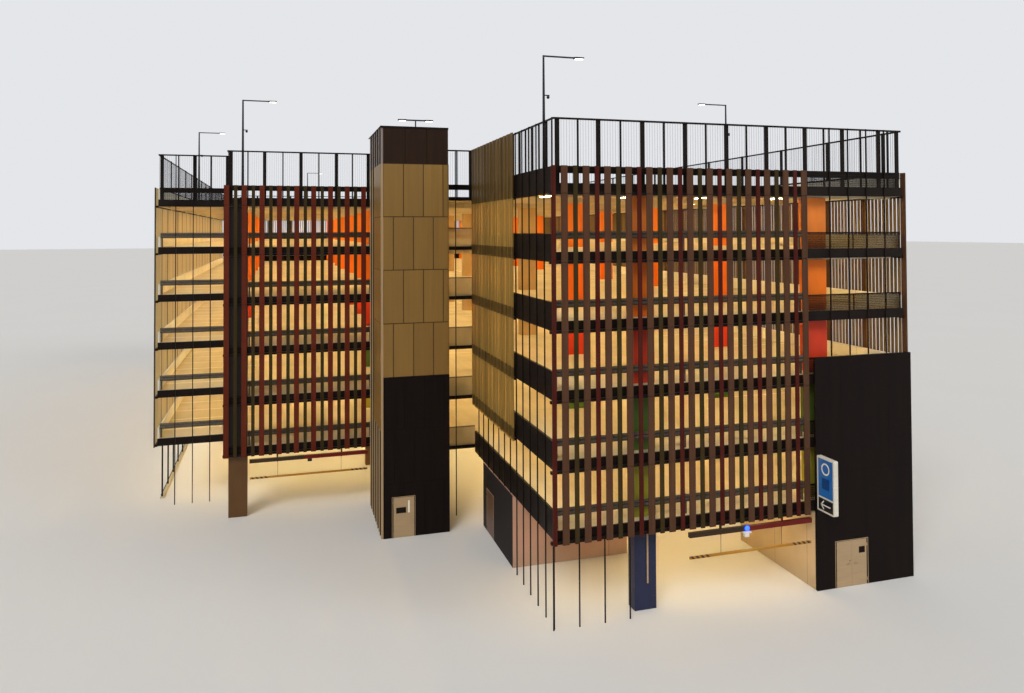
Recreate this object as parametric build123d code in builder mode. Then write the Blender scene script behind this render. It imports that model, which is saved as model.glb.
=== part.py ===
"""Multi storey car park, modelled at half its real size.

Lengths are millimetres of the model, so 1 mm here is 2 mm on the building.
X runs to the right along the front, Y runs back from the front and Z is up.
The origin is on the ground at the middle of the plan, the blade sign included.
"""
import os

from build123d import *

os.makedirs("parts", exist_ok=True)

# Plan of the building, measured on the outer faces of its screens
building_width = 17550
building_depth = 37000
near_block_width = 8810
open_bay_width = 2760
recess_setback = 6745
box_setback = 8370
box_width = 4115
bay_setback = 10025
tower_gap = 885
tower_width = 1730
tower_setback = 5755
tower_depth = 3035

# Storeys
first_floor_height = 1950
storey_height = 1400
deck_count = 6

# Decks, their cross beams and the movement joints between them
slab_thickness = 90
beam_drop = 160
beam_width = 200
movement_joint = 10

# Columns
column_width = 500
column_depth = 300
column_line_inset = 2260
column_line_spacing = 4350
first_row_inset = 500
row_spacing = 4000

# Layers of the outside wall, from the outer face inwards
fin_depth = 30
rail_depth = 46
rod_size = 24
facing_thickness = 50
edge_depth = 210
recess_edge_depth = 100
band_rise = 375
upstand_rise = 300

# Fins of the louvred screens
fin_pair_pitch = 472.5
narrow_fin_width = 92
wide_fin_width = 140
near_first_narrow = 72
near_first_wide = 305
box_first_wide = 90
box_first_narrow = 330
return_first_fin = 300
fin_joint = 12
fin_hang = 45
screen_top_rise = 350
rail_height = 60
side_fin_pitch = 1300
bronze_fin_width = 140
bronze_fin_pitch = 330
bronze_screen_start = 2700

# Full height rods
left_rod_inset = 135
left_rod_pitch = 515
right_rod_pitch = 500
right_rod_count = 4
recess_rod_inset = 45
recess_rod_pitch = 395
recess_rod_count = 2
bay_rod_pitch = 480
bay_rod_count = 3
ground_rod_inset = 60
ground_rod_pitch = 555
ground_rod_count = 4

# Fence round the roof
fence_height = 1335
fence_post_pitch = 1000
side_post_pitch = 2000
side_post_end = 500
wide_post = 95
thin_post = 35
fence_rail_height = 40
fence_rail_depth = 20
roof_slat_height = 40
roof_slat_pitch = 55
roof_slat_count = 3

# Barriers of the decks
barrier_rail = 30
barrier_thickness = 12
barrier_post_pitch = 1300
guard_height = 155
guard_wave = 30
guard_plate = 12
guard_top = 415
guard_setback = 40
guard_post_size = 40
guard_post_pitch = 3000
guard_post_gap = 5
balustrade_height = 500
balustrade_thickness = 20
seat_gap = 0.3

# Stair tower
tower_wall = 100
tower_cap_height = 985
tower_height = 10750
cap_panel_count = 3
cladding_thickness = 20
panel_row_height = 1400
panel_row_count = 4
panel_width = 530
panel_joint = 10
rib_width = 40
rib_depth = 60
rib_pitch = 250
tower_door_width = 540
tower_door_height = 1025
tower_door_inset = 255

# Doors
door_thickness = 25
door_gap = 5
handle_inset = 70
handle_length = 70
handle_reach = 30
handle_size = 12
handle_height = 500
hinge_radius = 8
hinge_length = 60
hinge_plate = 4
hinge_plate_length = 30
hinge_inset = 120
vision_width = 50
vision_height = 320
vision_sill = 620
plant_leaf_width = 395
plant_door_height = 1005
plant_door_inset = 510
room_door_width = 650
room_door_height = 1100

# Plant room behind the black wall
black_wall_height = 5135
black_wall_thickness = 60
black_wall_width = 2610
plant_room_depth = 3000
room_wall = 75

# Ground floor room at the left face of the near block
room_start = 3100
room_end = 5900
room_width = 3050
room_door_start = 4850

# Blade sign
sign_reach = 545
sign_thickness = 110
sign_bottom = 1800
sign_height = 1185
sign_inset = 75
sign_corner = 30
sign_border = 35
sign_recess = 6
sign_lower_field = 310

# Clearance beams and the bars that swing under them
beam_sign_height = 100
beam_sign_depth = 80
beam_sign_bottom = 1480
beam_sign_margin = 60
hanger_size = 40
bar_height = 50
bar_depth = 40
bar_bottom = 1025
bar_margin = 10
bar_wire_size = 8
bar_sleeve_radius = 10
bar_sleeve_length = 30
bar_wire_inset = 750

# Lamps
lamp_pole_height = 2800
lamp_pole_radius = 40
lamp_pole_top_radius = 22
lamp_foot_size = 150
lamp_foot_height = 20
lamp_arm_reach = 700
lamp_arm_size = 30
lamp_head_length = 220
lamp_head_width = 110
lamp_head_height = 35
pole_sides = 8
tower_lamp_height = 200
tower_lamp_span = 930

# Fence on the ground along the left side
ground_fence_start = 10800
kerb_height = 60
kerb_width = 120
kerb_bevel = 20
ground_post_size = 40
ground_post_pitch = 1250
ground_rail_height = 30
ground_rail_depth = 15

# Lines of the plan that follow from the sizes
left_x = -building_width / 2
right_x = building_width / 2
near_left_x = right_x - near_block_width
open_bay_x = right_x - open_bay_width
tower_right_x = near_left_x - tower_gap
tower_left_x = tower_right_x - tower_width
box_left_x = tower_left_x - box_width
front_y = (sign_reach - building_depth) / 2
rear_y = front_y + building_depth
recess_y = front_y + recess_setback
box_y = front_y + box_setback
bay_y = front_y + bay_setback
tower_front_y = front_y + tower_setback
tower_back_y = tower_front_y + tower_depth

# Columns that the plan takes at their spacing
row_count = int((building_depth - 2 * first_row_inset) / row_spacing) + 1

# Depth of each layer behind the outer face
rod_inset = fin_depth + rail_depth
facing_inset = rod_inset + rod_size
slab_inset = facing_inset + facing_thickness
column_line_room = building_width - column_line_inset - slab_inset - column_width / 2
column_line_count = int(column_line_room / column_line_spacing) + 1

# Poles of the roof lamps, each near the edges it is measured from, and the way its arm reaches
lamp_poles = [
    (near_left_x + 230, front_y + 1050, "right"),
    (box_left_x + 505, box_y + 280, "right"),
    (left_x + 590, bay_y + 6625, "right"),
    (right_x - 1160, front_y + 5850, "left"),
    (left_x + 5140, rear_y - 500, "right"),
]


def floor_top(deck):
    """Height of a deck's wearing surface; deck 0 is the ground."""
    return 0 if deck == 0 else first_floor_height + (deck - 1) * storey_height


def soffit(deck):
    """Height of the underside of a deck's edge."""
    return floor_top(deck) - edge_depth


all_decks = range(1, deck_count + 1)
parking_levels = range(1, deck_count)
roof_top = floor_top(deck_count)
beam_soffit = slab_thickness + beam_drop
screen_top = roof_top + screen_top_rise
fence_top = roof_top + fence_height
tower_cap_bottom = tower_height - tower_cap_height


def front_plane(y):
    """A plane that faces the front: its x is X and its y is Z, and it extrudes back with a minus."""
    return Plane.XZ.offset(-y)


def side_plane(x):
    """A plane that faces right: its x is Y and its y is Z."""
    return Plane.YZ.offset(x)


def area(across, along, mode=Mode.ADD):
    """Draws a rectangle from its two ranges."""
    with Locations((sum(across) / 2, sum(along) / 2)):
        Rectangle(across[1] - across[0], along[1] - along[0], mode=mode)


def around(middle, size):
    """The range of a size about its middle."""
    return (middle - size / 2, middle + size / 2)


def steps(start, stop, pitch):
    """Places from start to stop, evenly spaced at about the pitch."""
    count = max(1, round((stop - start) / pitch))
    return [start + (stop - start) * i / count for i in range(count + 1)]


def keep(piece, name):
    """Labels a finished piece and writes its file."""
    piece.part.label = name
    export_step(piece.part, f"parts/{name}.step")


# Columns in plan: lines at one spacing, of which the left ones start behind the forecourt,
# and one at the box's corner
column_lines = [right_x - column_line_inset - i * column_line_spacing for i in range(column_line_count)]
column_rows = [front_y + first_row_inset + i * row_spacing for i in range(row_count)]
forecourt_back = bay_y + slab_inset
box_column = (box_left_x + slab_inset + column_width / 2, box_y + slab_inset + column_depth / 2)
column_places = [box_column] + [
    (x, y) for x in column_lines for y in column_rows if x > near_left_x or y > forecourt_back
]

# Rectangles of one deck in plan, parted by movement joints
near_slab_x = near_left_x + slab_inset
deck_slabs = {
    "near": ((near_slab_x, right_x - slab_inset), (front_y + slab_inset, forecourt_back)),
    "recess": ((tower_right_x, near_slab_x - movement_joint), (recess_y + slab_inset, forecourt_back)),
    "box": ((box_left_x + slab_inset, tower_left_x), (box_y + slab_inset, tower_back_y - movement_joint)),
    "link": ((box_left_x + slab_inset, tower_right_x - movement_joint), (tower_back_y, forecourt_back)),
    "main": ((left_x + slab_inset, right_x - slab_inset),
             (forecourt_back + movement_joint, rear_y - slab_inset)),
}


def beam_rows(name, y_range):
    """Centre lines of the cross beams under one slab."""
    rows = [box_column[1]] if name == "box" else column_rows
    return [y for y in rows if y_range[0] <= y - beam_width / 2 and y + beam_width / 2 <= y_range[1]]


def make_decks(decks):
    """Flat slabs with cross beams under the column rows, one set for each deck."""
    tops = [floor_top(deck) for deck in decks]
    with BuildPart() as piece:
        with BuildSketch(*[Plane.XY.offset(top) for top in tops]):
            for x_range, y_range in deck_slabs.values():
                area(x_range, y_range)
        extrude(amount=-slab_thickness)
        with BuildSketch(*[Plane.XY.offset(top - slab_thickness) for top in tops]):
            for name, (x_range, y_range) in deck_slabs.items():
                for y in beam_rows(name, y_range):
                    area(x_range, around(y, beam_width))
        extrude(amount=-beam_drop)
    return piece


def make_columns(deck):
    """The columns that stand on a deck and carry the next one."""
    with BuildPart() as piece:
        with BuildSketch(Plane.XY.offset(floor_top(deck))):
            with Locations(*column_places):
                Rectangle(column_width, column_depth)
        extrude(amount=floor_top(deck + 1) - beam_soffit - floor_top(deck))
    return piece


keep(make_decks(parking_levels), "parking_decks")
keep(make_decks([deck_count]), "roof_deck")
keep(make_columns(0), "ground_columns")
for deck in parking_levels:
    keep(make_columns(deck), f"level_{deck}_columns")

# Solid bands on the near block's left face and on the rear
with BuildPart() as spandrel_bands:
    with BuildSketch(side_plane(near_left_x + facing_inset)):
        for deck in all_decks:
            high = screen_top if deck == deck_count else floor_top(deck) + band_rise
            area((front_y + facing_inset, recess_y + facing_inset), (soffit(deck), high))
    extrude(amount=facing_thickness)
    with BuildSketch(front_plane(rear_y - slab_inset)):
        for deck in all_decks:
            high = roof_top if deck == deck_count else floor_top(deck) + band_rise
            area((left_x + facing_inset, right_x - facing_inset), (soffit(deck), high))
    extrude(amount=-facing_thickness)
keep(spandrel_bands, "spandrel_bands")

# Edge beams that face the decks on the front, the box, the bays and the recess
front_edges = [
    ((near_slab_x + seat_gap, right_x - facing_inset), front_y, edge_depth),
    ((box_left_x + slab_inset + seat_gap, tower_left_x), box_y, edge_depth),
    ((left_x + facing_inset, box_left_x + facing_inset - seat_gap), bay_y, edge_depth),
    ((tower_right_x, near_slab_x), recess_y, recess_edge_depth),
]
with BuildPart() as deck_edges:
    for x_range, y, depth in front_edges:
        with BuildSketch(front_plane(y + facing_inset)):
            for deck in all_decks:
                area(x_range, (floor_top(deck) - depth, floor_top(deck)))
        extrude(amount=-facing_thickness)
    with BuildSketch(side_plane(box_left_x + facing_inset)):
        for deck in all_decks:
            area((box_y + facing_inset, bay_y + facing_inset), (soffit(deck), floor_top(deck)))
    extrude(amount=facing_thickness)
keep(deck_edges, "deck_edges")

# Low walls along the sides
right_side_y = (front_y + slab_inset, rear_y - slab_inset)
left_side_y = (bay_y + slab_inset, rear_y - slab_inset)
sides = [(right_x - slab_inset, right_side_y), (left_x + facing_inset, left_side_y)]
with BuildPart() as side_upstands:
    for x, y_range in sides:
        with BuildSketch(side_plane(x)):
            for deck in all_decks:
                area(y_range, (soffit(deck), floor_top(deck) + upstand_rise))
        extrude(amount=facing_thickness)
keep(side_upstands, "side_upstands")


def fin_rows(top):
    """Heights of fins one storey high, parted by an open joint at the underside of each deck."""
    joints = [soffit(deck) for deck in all_decks[1:]]
    lows = [soffit(1) - fin_hang] + [joint + fin_joint / 2 for joint in joints]
    highs = [joint - fin_joint / 2 for joint in joints] + [top]
    return list(zip(lows, highs))


def fin_places(start, stop, first, width):
    """Centres of one kind of fin in the paired pattern, within a run of the screen."""
    count = int((stop - start - first - width / 2) / fin_pair_pitch) + 1
    return [start + first + i * fin_pair_pitch for i in range(count)]


def draw_fins(places, width, rows):
    """Draws fins in elevation: one at every place of every row."""
    for low, high in rows:
        with Locations(*[(place, (low + high) / 2) for place in places]):
            Rectangle(width, high - low)


storey_rows = fin_rows(screen_top)
full_rows = [(soffit(1) - fin_hang, screen_top)]


def make_front_fins(places, width, rows):
    """One kind of fin on the near block's front."""
    with BuildPart() as piece:
        with BuildSketch(front_plane(front_y)):
            draw_fins(places, width, rows)
        extrude(amount=-fin_depth)
    return piece


def make_box_fins(front_places, return_places, width, rows):
    """One kind of fin on the left box, whose screen returns along its left face."""
    with BuildPart() as piece:
        with BuildSketch(front_plane(box_y)):
            draw_fins(front_places, width, rows)
        extrude(amount=-fin_depth)
        with BuildSketch(side_plane(box_left_x)):
            draw_fins(return_places, width, full_rows)
        extrude(amount=fin_depth)
    return piece


near_run = (near_left_x, open_bay_x)
box_run = (box_left_x, tower_left_x)
return_wide = fin_places(box_y, bay_y, return_first_fin + fin_pair_pitch / 2, wide_fin_width)
return_narrow = fin_places(box_y, bay_y, return_first_fin, narrow_fin_width)
box_wide = fin_places(*box_run, box_first_wide, wide_fin_width)
box_narrow = fin_places(*box_run, box_first_narrow, narrow_fin_width)
near_wide = fin_places(*near_run, near_first_wide, wide_fin_width)
near_narrow = fin_places(*near_run, near_first_narrow, narrow_fin_width)
keep(make_front_fins(near_wide, wide_fin_width, storey_rows), "front_wide_fins")
keep(make_front_fins(near_narrow, narrow_fin_width, full_rows), "front_narrow_fins")
keep(make_box_fins(box_wide, return_wide, wide_fin_width, storey_rows), "box_wide_fins")
keep(make_box_fins(box_narrow, return_narrow, narrow_fin_width, full_rows), "box_narrow_fins")

# Bronze screen on the left face of the near block
bronze_range = (front_y + bronze_screen_start, recess_y)
bronze_ends = (bronze_range[0] + bronze_fin_width / 2, bronze_range[1] - bronze_fin_width / 2)
bronze_rows = [(soffit(2) - fin_hang, fence_top)]
with BuildPart() as bronze_screen:
    with BuildSketch(side_plane(near_left_x)):
        draw_fins(steps(*bronze_ends, bronze_fin_pitch), bronze_fin_width, bronze_rows)
    extrude(amount=fin_depth)
keep(bronze_screen, "bronze_screen")

# Full height fins along the sides and the rear
with BuildPart() as left_side_fins:
    with BuildSketch(side_plane(left_x)):
        draw_fins(steps(*left_side_y, side_fin_pitch), narrow_fin_width, full_rows)
    extrude(amount=fin_depth)
keep(left_side_fins, "left_side_fins")

with BuildPart() as right_side_fins:
    with BuildSketch(side_plane(right_x - fin_depth)):
        draw_fins(steps(*right_side_y, side_fin_pitch), wide_fin_width, full_rows)
    extrude(amount=fin_depth)
keep(right_side_fins, "right_side_fins")

with BuildPart() as rear_fins:
    with BuildSketch(front_plane(rear_y - fin_depth)):
        draw_fins(steps(left_x + slab_inset, right_x - slab_inset, side_fin_pitch), wide_fin_width, full_rows)
    extrude(amount=-fin_depth)
keep(rear_fins, "rear_fins")

# Rails behind the fins, one at each joint between the storeys
rail_reach = facing_inset - fin_depth
x_rails = [
    (near_run, front_y + fin_depth, all_decks),
    (box_run, box_y + fin_depth, all_decks),
    ((left_x + slab_inset, right_x - slab_inset), rear_y - facing_inset, all_decks),
]
y_rails = [
    ((box_y + facing_inset + seat_gap, bay_y), box_left_x + fin_depth, rail_reach, all_decks),
    (left_side_y, left_x + fin_depth, rail_reach, all_decks),
    (right_side_y, right_x - facing_inset, rail_reach, all_decks),
    (bronze_range, near_left_x + fin_depth, rail_depth, all_decks[1:]),
]
with BuildPart() as screen_rails:
    for x_range, y, decks in x_rails:
        with BuildSketch(front_plane(y)):
            for deck in decks:
                area(x_range, around(soffit(deck), rail_height))
        extrude(amount=-rail_reach)
    for y_range, x, reach, decks in y_rails:
        with BuildSketch(side_plane(x)):
            for deck in decks:
                area(y_range, around(soffit(deck), rail_height))
        extrude(amount=reach)
keep(screen_rails, "screen_rails")

# Rods in front of the decks, from the ground or from the first deck up to the top of the roof fence
left_rods = [front_y + left_rod_inset + i * left_rod_pitch
             for i in range(int((recess_setback - left_rod_inset) / left_rod_pitch) + 1)]
right_rods = [right_x - facing_inset - (i + 1) * right_rod_pitch for i in range(right_rod_count)]
recess_rods = [tower_right_x + recess_rod_inset + i * recess_rod_pitch for i in range(recess_rod_count)]
bay_rods = [left_x + facing_inset + (i + 1) * bay_rod_pitch for i in range(bay_rod_count)]
ground_rods = [near_left_x + ground_rod_inset + i * ground_rod_pitch for i in range(ground_rod_count)]
front_rods = [
    (right_rods, front_y, (black_wall_height, fence_top)),
    (ground_rods, front_y, (0, soffit(1) - rail_height / 2)),
    (recess_rods, recess_y, (0, fence_top)),
    (bay_rods, bay_y, (0, fence_top)),
]
with BuildPart() as facade_rods:
    for places, y, heights in front_rods:
        with BuildSketch(front_plane(y + rod_inset)):
            draw_fins(places, rod_size, [heights])
        extrude(amount=-rod_size)
    with BuildSketch(side_plane(near_left_x + rod_inset)):
        draw_fins([y for y in left_rods if y < front_y + room_start], rod_size, [(0, fence_top)])
        draw_fins([y for y in left_rods if y >= front_y + room_start], rod_size, [(soffit(1), fence_top)])
    extrude(amount=rod_size)
keep(facade_rods, "facade_rods")

# Fence round the roof. Runs along X: range, outer face, way inwards, pitch of the posts
corner_turn = facing_inset + fence_rail_depth + seat_gap
fence_x_runs = [
    ((near_left_x + facing_inset, right_x - facing_inset), front_y + facing_inset, 1, fence_post_pitch),
    ((tower_right_x + seat_gap, near_left_x + facing_inset - seat_gap), recess_y + facing_inset, 1,
     fence_post_pitch),
    ((box_left_x + facing_inset, tower_left_x - seat_gap), box_y + facing_inset, 1, fence_post_pitch),
    ((left_x + facing_inset, box_left_x + facing_inset - seat_gap), bay_y + facing_inset, 1,
     fence_post_pitch),
    ((left_x + facing_inset, right_x - facing_inset), rear_y - facing_inset, -1, side_post_pitch),
]
# Runs along Y: range, outer face, way inwards, what the posts stand on, pitch of the posts
fence_y_runs = [
    ((front_y + corner_turn, recess_y + corner_turn), near_left_x + facing_inset, 1, screen_top,
     fence_post_pitch),
    ((box_y + corner_turn, bay_y + corner_turn), box_left_x + facing_inset, 1, roof_top, fence_post_pitch),
    ((bay_y + corner_turn, rear_y - corner_turn), left_x + facing_inset, 1, roof_top + upstand_rise,
     side_post_pitch),
    ((front_y + corner_turn, rear_y - corner_turn), right_x - facing_inset, -1, roof_top + upstand_rise,
     side_post_pitch),
]
slat_rows = [(screen_top - roof_slat_height - i * roof_slat_pitch, screen_top - i * roof_slat_pitch)
             for i in range(roof_slat_count)]
top_rail = (fence_top - fence_rail_height, fence_top)
corner_room = facing_thickness + seat_gap


def front_posts(run, pitch):
    """Places of posts along X: one at each end, clear of the corners, the rest at the pitch from the left."""
    end = corner_room + wide_post / 2
    count = int((run[1] - run[0] - 2 * end) / pitch)
    return [run[0] + end] + [run[0] + i * pitch for i in range(1, count + 1)] + [run[1] - end]


def draw_posts(places, base, pitch):
    """Draws the posts of one side of the fence, wide ones with a thin one midway where they stand close."""
    draw_fins(places, wide_post, [(base, fence_top)])
    if pitch < side_post_pitch:
        draw_fins([(a + b) / 2 for a, b in zip(places, places[1:])], thin_post, [(base, fence_top)])


with BuildPart() as roof_fence_posts:
    post_depth = facing_thickness - fence_rail_depth
    for run, face, inwards, pitch in fence_x_runs:
        with BuildSketch(front_plane(face + inwards * fence_rail_depth)):
            draw_posts(front_posts(run, pitch), roof_top, pitch)
        extrude(amount=-inwards * post_depth)
    for run, face, inwards, base, pitch in fence_y_runs:
        with BuildSketch(side_plane(face + inwards * fence_rail_depth)):
            draw_posts(steps(run[0] + side_post_end, run[1] - side_post_end, pitch), base, pitch)
        extrude(amount=inwards * post_depth)
keep(roof_fence_posts, "roof_fence_posts")

with BuildPart() as roof_fence_rails:
    for run, face, inwards, pitch in fence_x_runs:
        with BuildSketch(front_plane(face)):
            area(run, top_rail)
            for heights in slat_rows:
                area((run[0] + corner_room, run[1] - corner_room), heights)
        extrude(amount=-inwards * fence_rail_depth)
    for run, face, inwards, base, pitch in fence_y_runs:
        with BuildSketch(side_plane(face)):
            area(run, top_rail)
        extrude(amount=inwards * fence_rail_depth)
keep(roof_fence_rails, "roof_fence_rails")

# Frames of the mesh barriers in the open bay, which stand on the edge beams
barrier_run = (open_bay_x + seat_gap, right_x - slab_inset - seat_gap)
barrier_ends = (barrier_run[0] + barrier_rail / 2, barrier_run[1] - barrier_rail / 2)
with BuildPart() as mesh_barriers:
    with BuildSketch(front_plane(front_y + facing_inset + barrier_thickness)):
        for deck in parking_levels:
            high = floor_top(deck) + band_rise
            area(barrier_run, (high - barrier_rail, high))
            draw_fins(steps(*barrier_ends, barrier_post_pitch), barrier_rail,
                      [(floor_top(deck), high - barrier_rail)])
    extrude(amount=-barrier_thickness)
keep(mesh_barriers, "mesh_barriers")


def draw_guard_section(face, low):
    """Section of a guard rail: a plate pressed into two waves, with its crests at the face."""
    depths = [guard_wave, 0, guard_wave, 0, guard_wave]
    front = [(face + depth, low + guard_height * i / 4) for i, depth in enumerate(depths)]
    back = [(y + guard_plate, z) for y, z in reversed(front)]
    Polygon(*front, *back, align=None)


# Guard rails on posts, a step behind the edge beams
guard_runs = [
    ((near_slab_x + seat_gap, open_bay_x), front_y),
    ((box_column[0] + column_width / 2 + guard_post_gap, tower_left_x - seat_gap), box_y),
    ((left_x + slab_inset + seat_gap, box_left_x + facing_inset - seat_gap), bay_y),
]
guard_low = guard_top - guard_height
with BuildPart() as guard_rails:
    for run, outer_face in guard_runs:
        face = outer_face + slab_inset + guard_setback
        with BuildSketch(side_plane(run[0])):
            for deck in parking_levels:
                draw_guard_section(face, floor_top(deck) + guard_low)
        extrude(amount=run[1] - run[0])
        with BuildSketch(front_plane(face + guard_wave + guard_plate + seat_gap)):
            for deck in parking_levels:
                draw_fins(steps(run[0] + guard_post_size, run[1] - guard_post_size, guard_post_pitch),
                          guard_post_size, [(floor_top(deck), floor_top(deck) + guard_top)])
        extrude(amount=-guard_post_size)
keep(guard_rails, "guard_rails")

# Glass balustrades in the recess
with BuildPart() as recess_glass:
    with BuildSketch(front_plane(recess_y + facing_inset)):
        for deck in parking_levels:
            area((tower_right_x + seat_gap, near_left_x + facing_inset - seat_gap),
                 (floor_top(deck), floor_top(deck) + balustrade_height))
    extrude(amount=-balustrade_thickness)
keep(recess_glass, "recess_glass")

# Stair tower: a hollow shaft with a doorway, closed by its cap
tower_x = (tower_left_x, tower_right_x)
tower_y = (tower_front_y, tower_back_y)
shaft_x = (tower_left_x + tower_wall, tower_right_x - tower_wall)
shaft_y = (tower_front_y + tower_wall, tower_back_y - tower_wall)
clad_front_y = tower_front_y - cladding_thickness
tower_door_x = tower_left_x + tower_door_inset
tower_doorway = ((tower_door_x, tower_door_x + tower_door_width + 2 * door_gap),
                 (0, tower_door_height + 2 * door_gap))
rib_places = [(tower_left_x - rib_depth / 2, y + rib_width / 2)
              for y in steps(tower_front_y, box_y - rib_width, rib_pitch)]

with BuildPart() as tower_walls:
    with BuildSketch():
        area(tower_x, tower_y)
        area(shaft_x, shaft_y, Mode.SUBTRACT)
    extrude(amount=tower_cap_bottom)
    with BuildSketch(front_plane(tower_front_y)):
        area(*tower_doorway)
    extrude(amount=-tower_wall, mode=Mode.SUBTRACT)
keep(tower_walls, "tower_walls")

cap_panel_width = tower_width / cap_panel_count
with BuildPart() as tower_cap:
    with BuildSketch(Plane.XY.offset(tower_cap_bottom)):
        area(tower_x, (clad_front_y, tower_back_y))
        for i in range(1, cap_panel_count):
            area(around(tower_left_x + i * cap_panel_width, panel_joint), (clad_front_y, tower_front_y),
                 Mode.SUBTRACT)
        with Locations(*rib_places):
            Rectangle(rib_depth, rib_width)
    extrude(amount=tower_cap_height)
    with BuildSketch(Plane.XY.offset(tower_cap_bottom)):
        area(shaft_x, shaft_y)
    extrude(amount=tower_cap_height - tower_wall, mode=Mode.SUBTRACT)
keep(tower_cap, "tower_cap")

clad_bottom = tower_cap_bottom - panel_row_count * panel_row_height
clad_side_y = (clad_front_y, recess_y + facing_inset - seat_gap)


def panel_ends(start, stop, row):
    """Ends of the panels of one row; every other row is moved by half a panel."""
    first = start + (panel_width if row % 2 == 0 else panel_width / 2)
    joints = [start] + [first + i * panel_width for i in range(int((stop - first) / panel_width) + 1)]
    if stop - joints[-1] < 2 * panel_joint:
        joints.pop()
    return list(zip(joints, joints[1:] + [stop]))


def draw_panels(start, stop):
    """Draws rows of panels in elevation, with an open joint after each."""
    for row in range(panel_row_count):
        high = tower_cap_bottom - row * panel_row_height
        for low_x, high_x in panel_ends(start, stop, row):
            area((low_x, high_x - panel_joint), (high - panel_row_height + panel_joint, high))


with BuildPart() as tower_panels:
    with BuildSketch(front_plane(clad_front_y)):
        draw_panels(*tower_x)
    extrude(amount=-cladding_thickness)
    with BuildSketch(side_plane(tower_right_x)):
        draw_panels(tower_front_y, clad_side_y[1])
    extrude(amount=cladding_thickness)
keep(tower_panels, "tower_panels")

with BuildPart() as tower_base_cladding:
    with BuildSketch(front_plane(clad_front_y)):
        area(tower_x, (0, clad_bottom))
        area(*tower_doorway, Mode.SUBTRACT)
    extrude(amount=-cladding_thickness)
    with BuildSketch(side_plane(tower_right_x)):
        area(clad_side_y, (0, clad_bottom))
    extrude(amount=cladding_thickness)
keep(tower_base_cladding, "tower_base_cladding")

with BuildPart() as tower_ribs:
    with BuildSketch():
        with Locations(*rib_places):
            Rectangle(rib_depth, rib_width)
    extrude(amount=tower_cap_bottom)
keep(tower_ribs, "tower_ribs")


def make_leaf(corner, width, height, hinge, facing=(1, 0, 0), outwards=(0, -1, 0), vision=False):
    """A door leaf in an opening: corner is the opening's lower left one, seen from outside.

    The hinge barrels stand in front of the opening's edge, on the hinge side.
    Facing is the direction that runs to the right along the outer face.
    """
    elevation = Plane(corner, x_dir=facing, z_dir=outwards)
    plan = Plane(corner, x_dir=facing, z_dir=(0, 0, 1))
    side = -1 if hinge == "left" else 1
    hinge_edge = width if side == 1 else 0
    axis_x = hinge_edge + side * door_gap
    grip_x = (width - hinge_edge) + side * handle_inset
    hinge_heights = [hinge_inset, height - hinge_inset]
    lever = [(-handle_size / 2, 0), (-handle_size / 2, -handle_reach), (handle_length, -handle_reach),
             (handle_length, handle_size - handle_reach), (handle_size / 2, handle_size - handle_reach),
             (handle_size / 2, 0)]
    with BuildPart() as piece:
        with BuildSketch(elevation):
            area((0, width), (door_gap, door_gap + height))
            if vision:
                area(around(width - 2 * handle_inset, vision_width),
                     (vision_sill, vision_sill + vision_height), Mode.SUBTRACT)
        extrude(amount=-door_thickness)
        with BuildSketch(plan.offset(handle_height)):
            Polygon(*[(grip_x + side * x, y) for x, y in lever], align=None)
        extrude(amount=handle_size)
        with BuildSketch(*[plan.offset(z - hinge_length / 2) for z in hinge_heights]):
            with Locations((axis_x, -hinge_radius - seat_gap)):
                Circle(hinge_radius)
            area(sorted((hinge_edge + side * door_gap / 2, hinge_edge - side * hinge_plate_length)),
                 (-hinge_plate, 0))
        extrude(amount=hinge_length)
    return piece


tower_leaf_x = tower_door_x + door_gap
keep(make_leaf((tower_leaf_x, clad_front_y, 0), tower_door_width, tower_door_height, "left", vision=True),
     "tower_door")

# Black wall at the right of the front, with the plant room behind it
black_wall_x = right_x - black_wall_width
plant_door_x = black_wall_x + plant_door_inset
with BuildPart() as black_wall:
    with BuildSketch(front_plane(front_y)):
        area((black_wall_x, right_x), (0, black_wall_height))
        area((plant_door_x, plant_door_x + 2 * plant_leaf_width + 3 * door_gap),
             (0, plant_door_height + 2 * door_gap), Mode.SUBTRACT)
    extrude(amount=-black_wall_thickness)
keep(black_wall, "black_wall")

room_top = floor_top(1) - beam_soffit
plant_room_x = (black_wall_x, right_x - slab_inset + room_wall)
plant_room_y = (front_y + black_wall_thickness, front_y + plant_room_depth)
with BuildPart() as plant_room_walls:
    with BuildSketch():
        area(plant_room_x, plant_room_y)
        area((plant_room_x[0] + room_wall, plant_room_x[1] - room_wall),
             (plant_room_y[0], plant_room_y[1] - room_wall), Mode.SUBTRACT)
    extrude(amount=room_top)
keep(plant_room_walls, "plant_room_walls")

left_leaf_x = plant_door_x + door_gap
right_leaf_x = left_leaf_x + plant_leaf_width + door_gap
keep(make_leaf((left_leaf_x, front_y, 0), plant_leaf_width, plant_door_height, "left"), "plant_door_left")
keep(make_leaf((right_leaf_x, front_y, 0), plant_leaf_width, plant_door_height, "right"), "plant_door_right")

# Room at the left face of the near block
room_x = (near_left_x + facing_inset, near_left_x + room_width)
room_y = (front_y + room_start, front_y + room_end)
room_door_y = front_y + room_door_start
with BuildPart() as ground_room_walls:
    with BuildSketch():
        area(room_x, room_y)
        area((room_x[0] + room_wall, room_x[1] - room_wall), (room_y[0] + room_wall, room_y[1] - room_wall),
             Mode.SUBTRACT)
    extrude(amount=room_top)
    with BuildSketch(side_plane(room_x[0])):
        area((room_door_y, room_door_y + room_door_width + 2 * door_gap),
             (0, room_door_height + 2 * door_gap))
    extrude(amount=room_wall, mode=Mode.SUBTRACT)
keep(ground_room_walls, "ground_room_walls")

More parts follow.
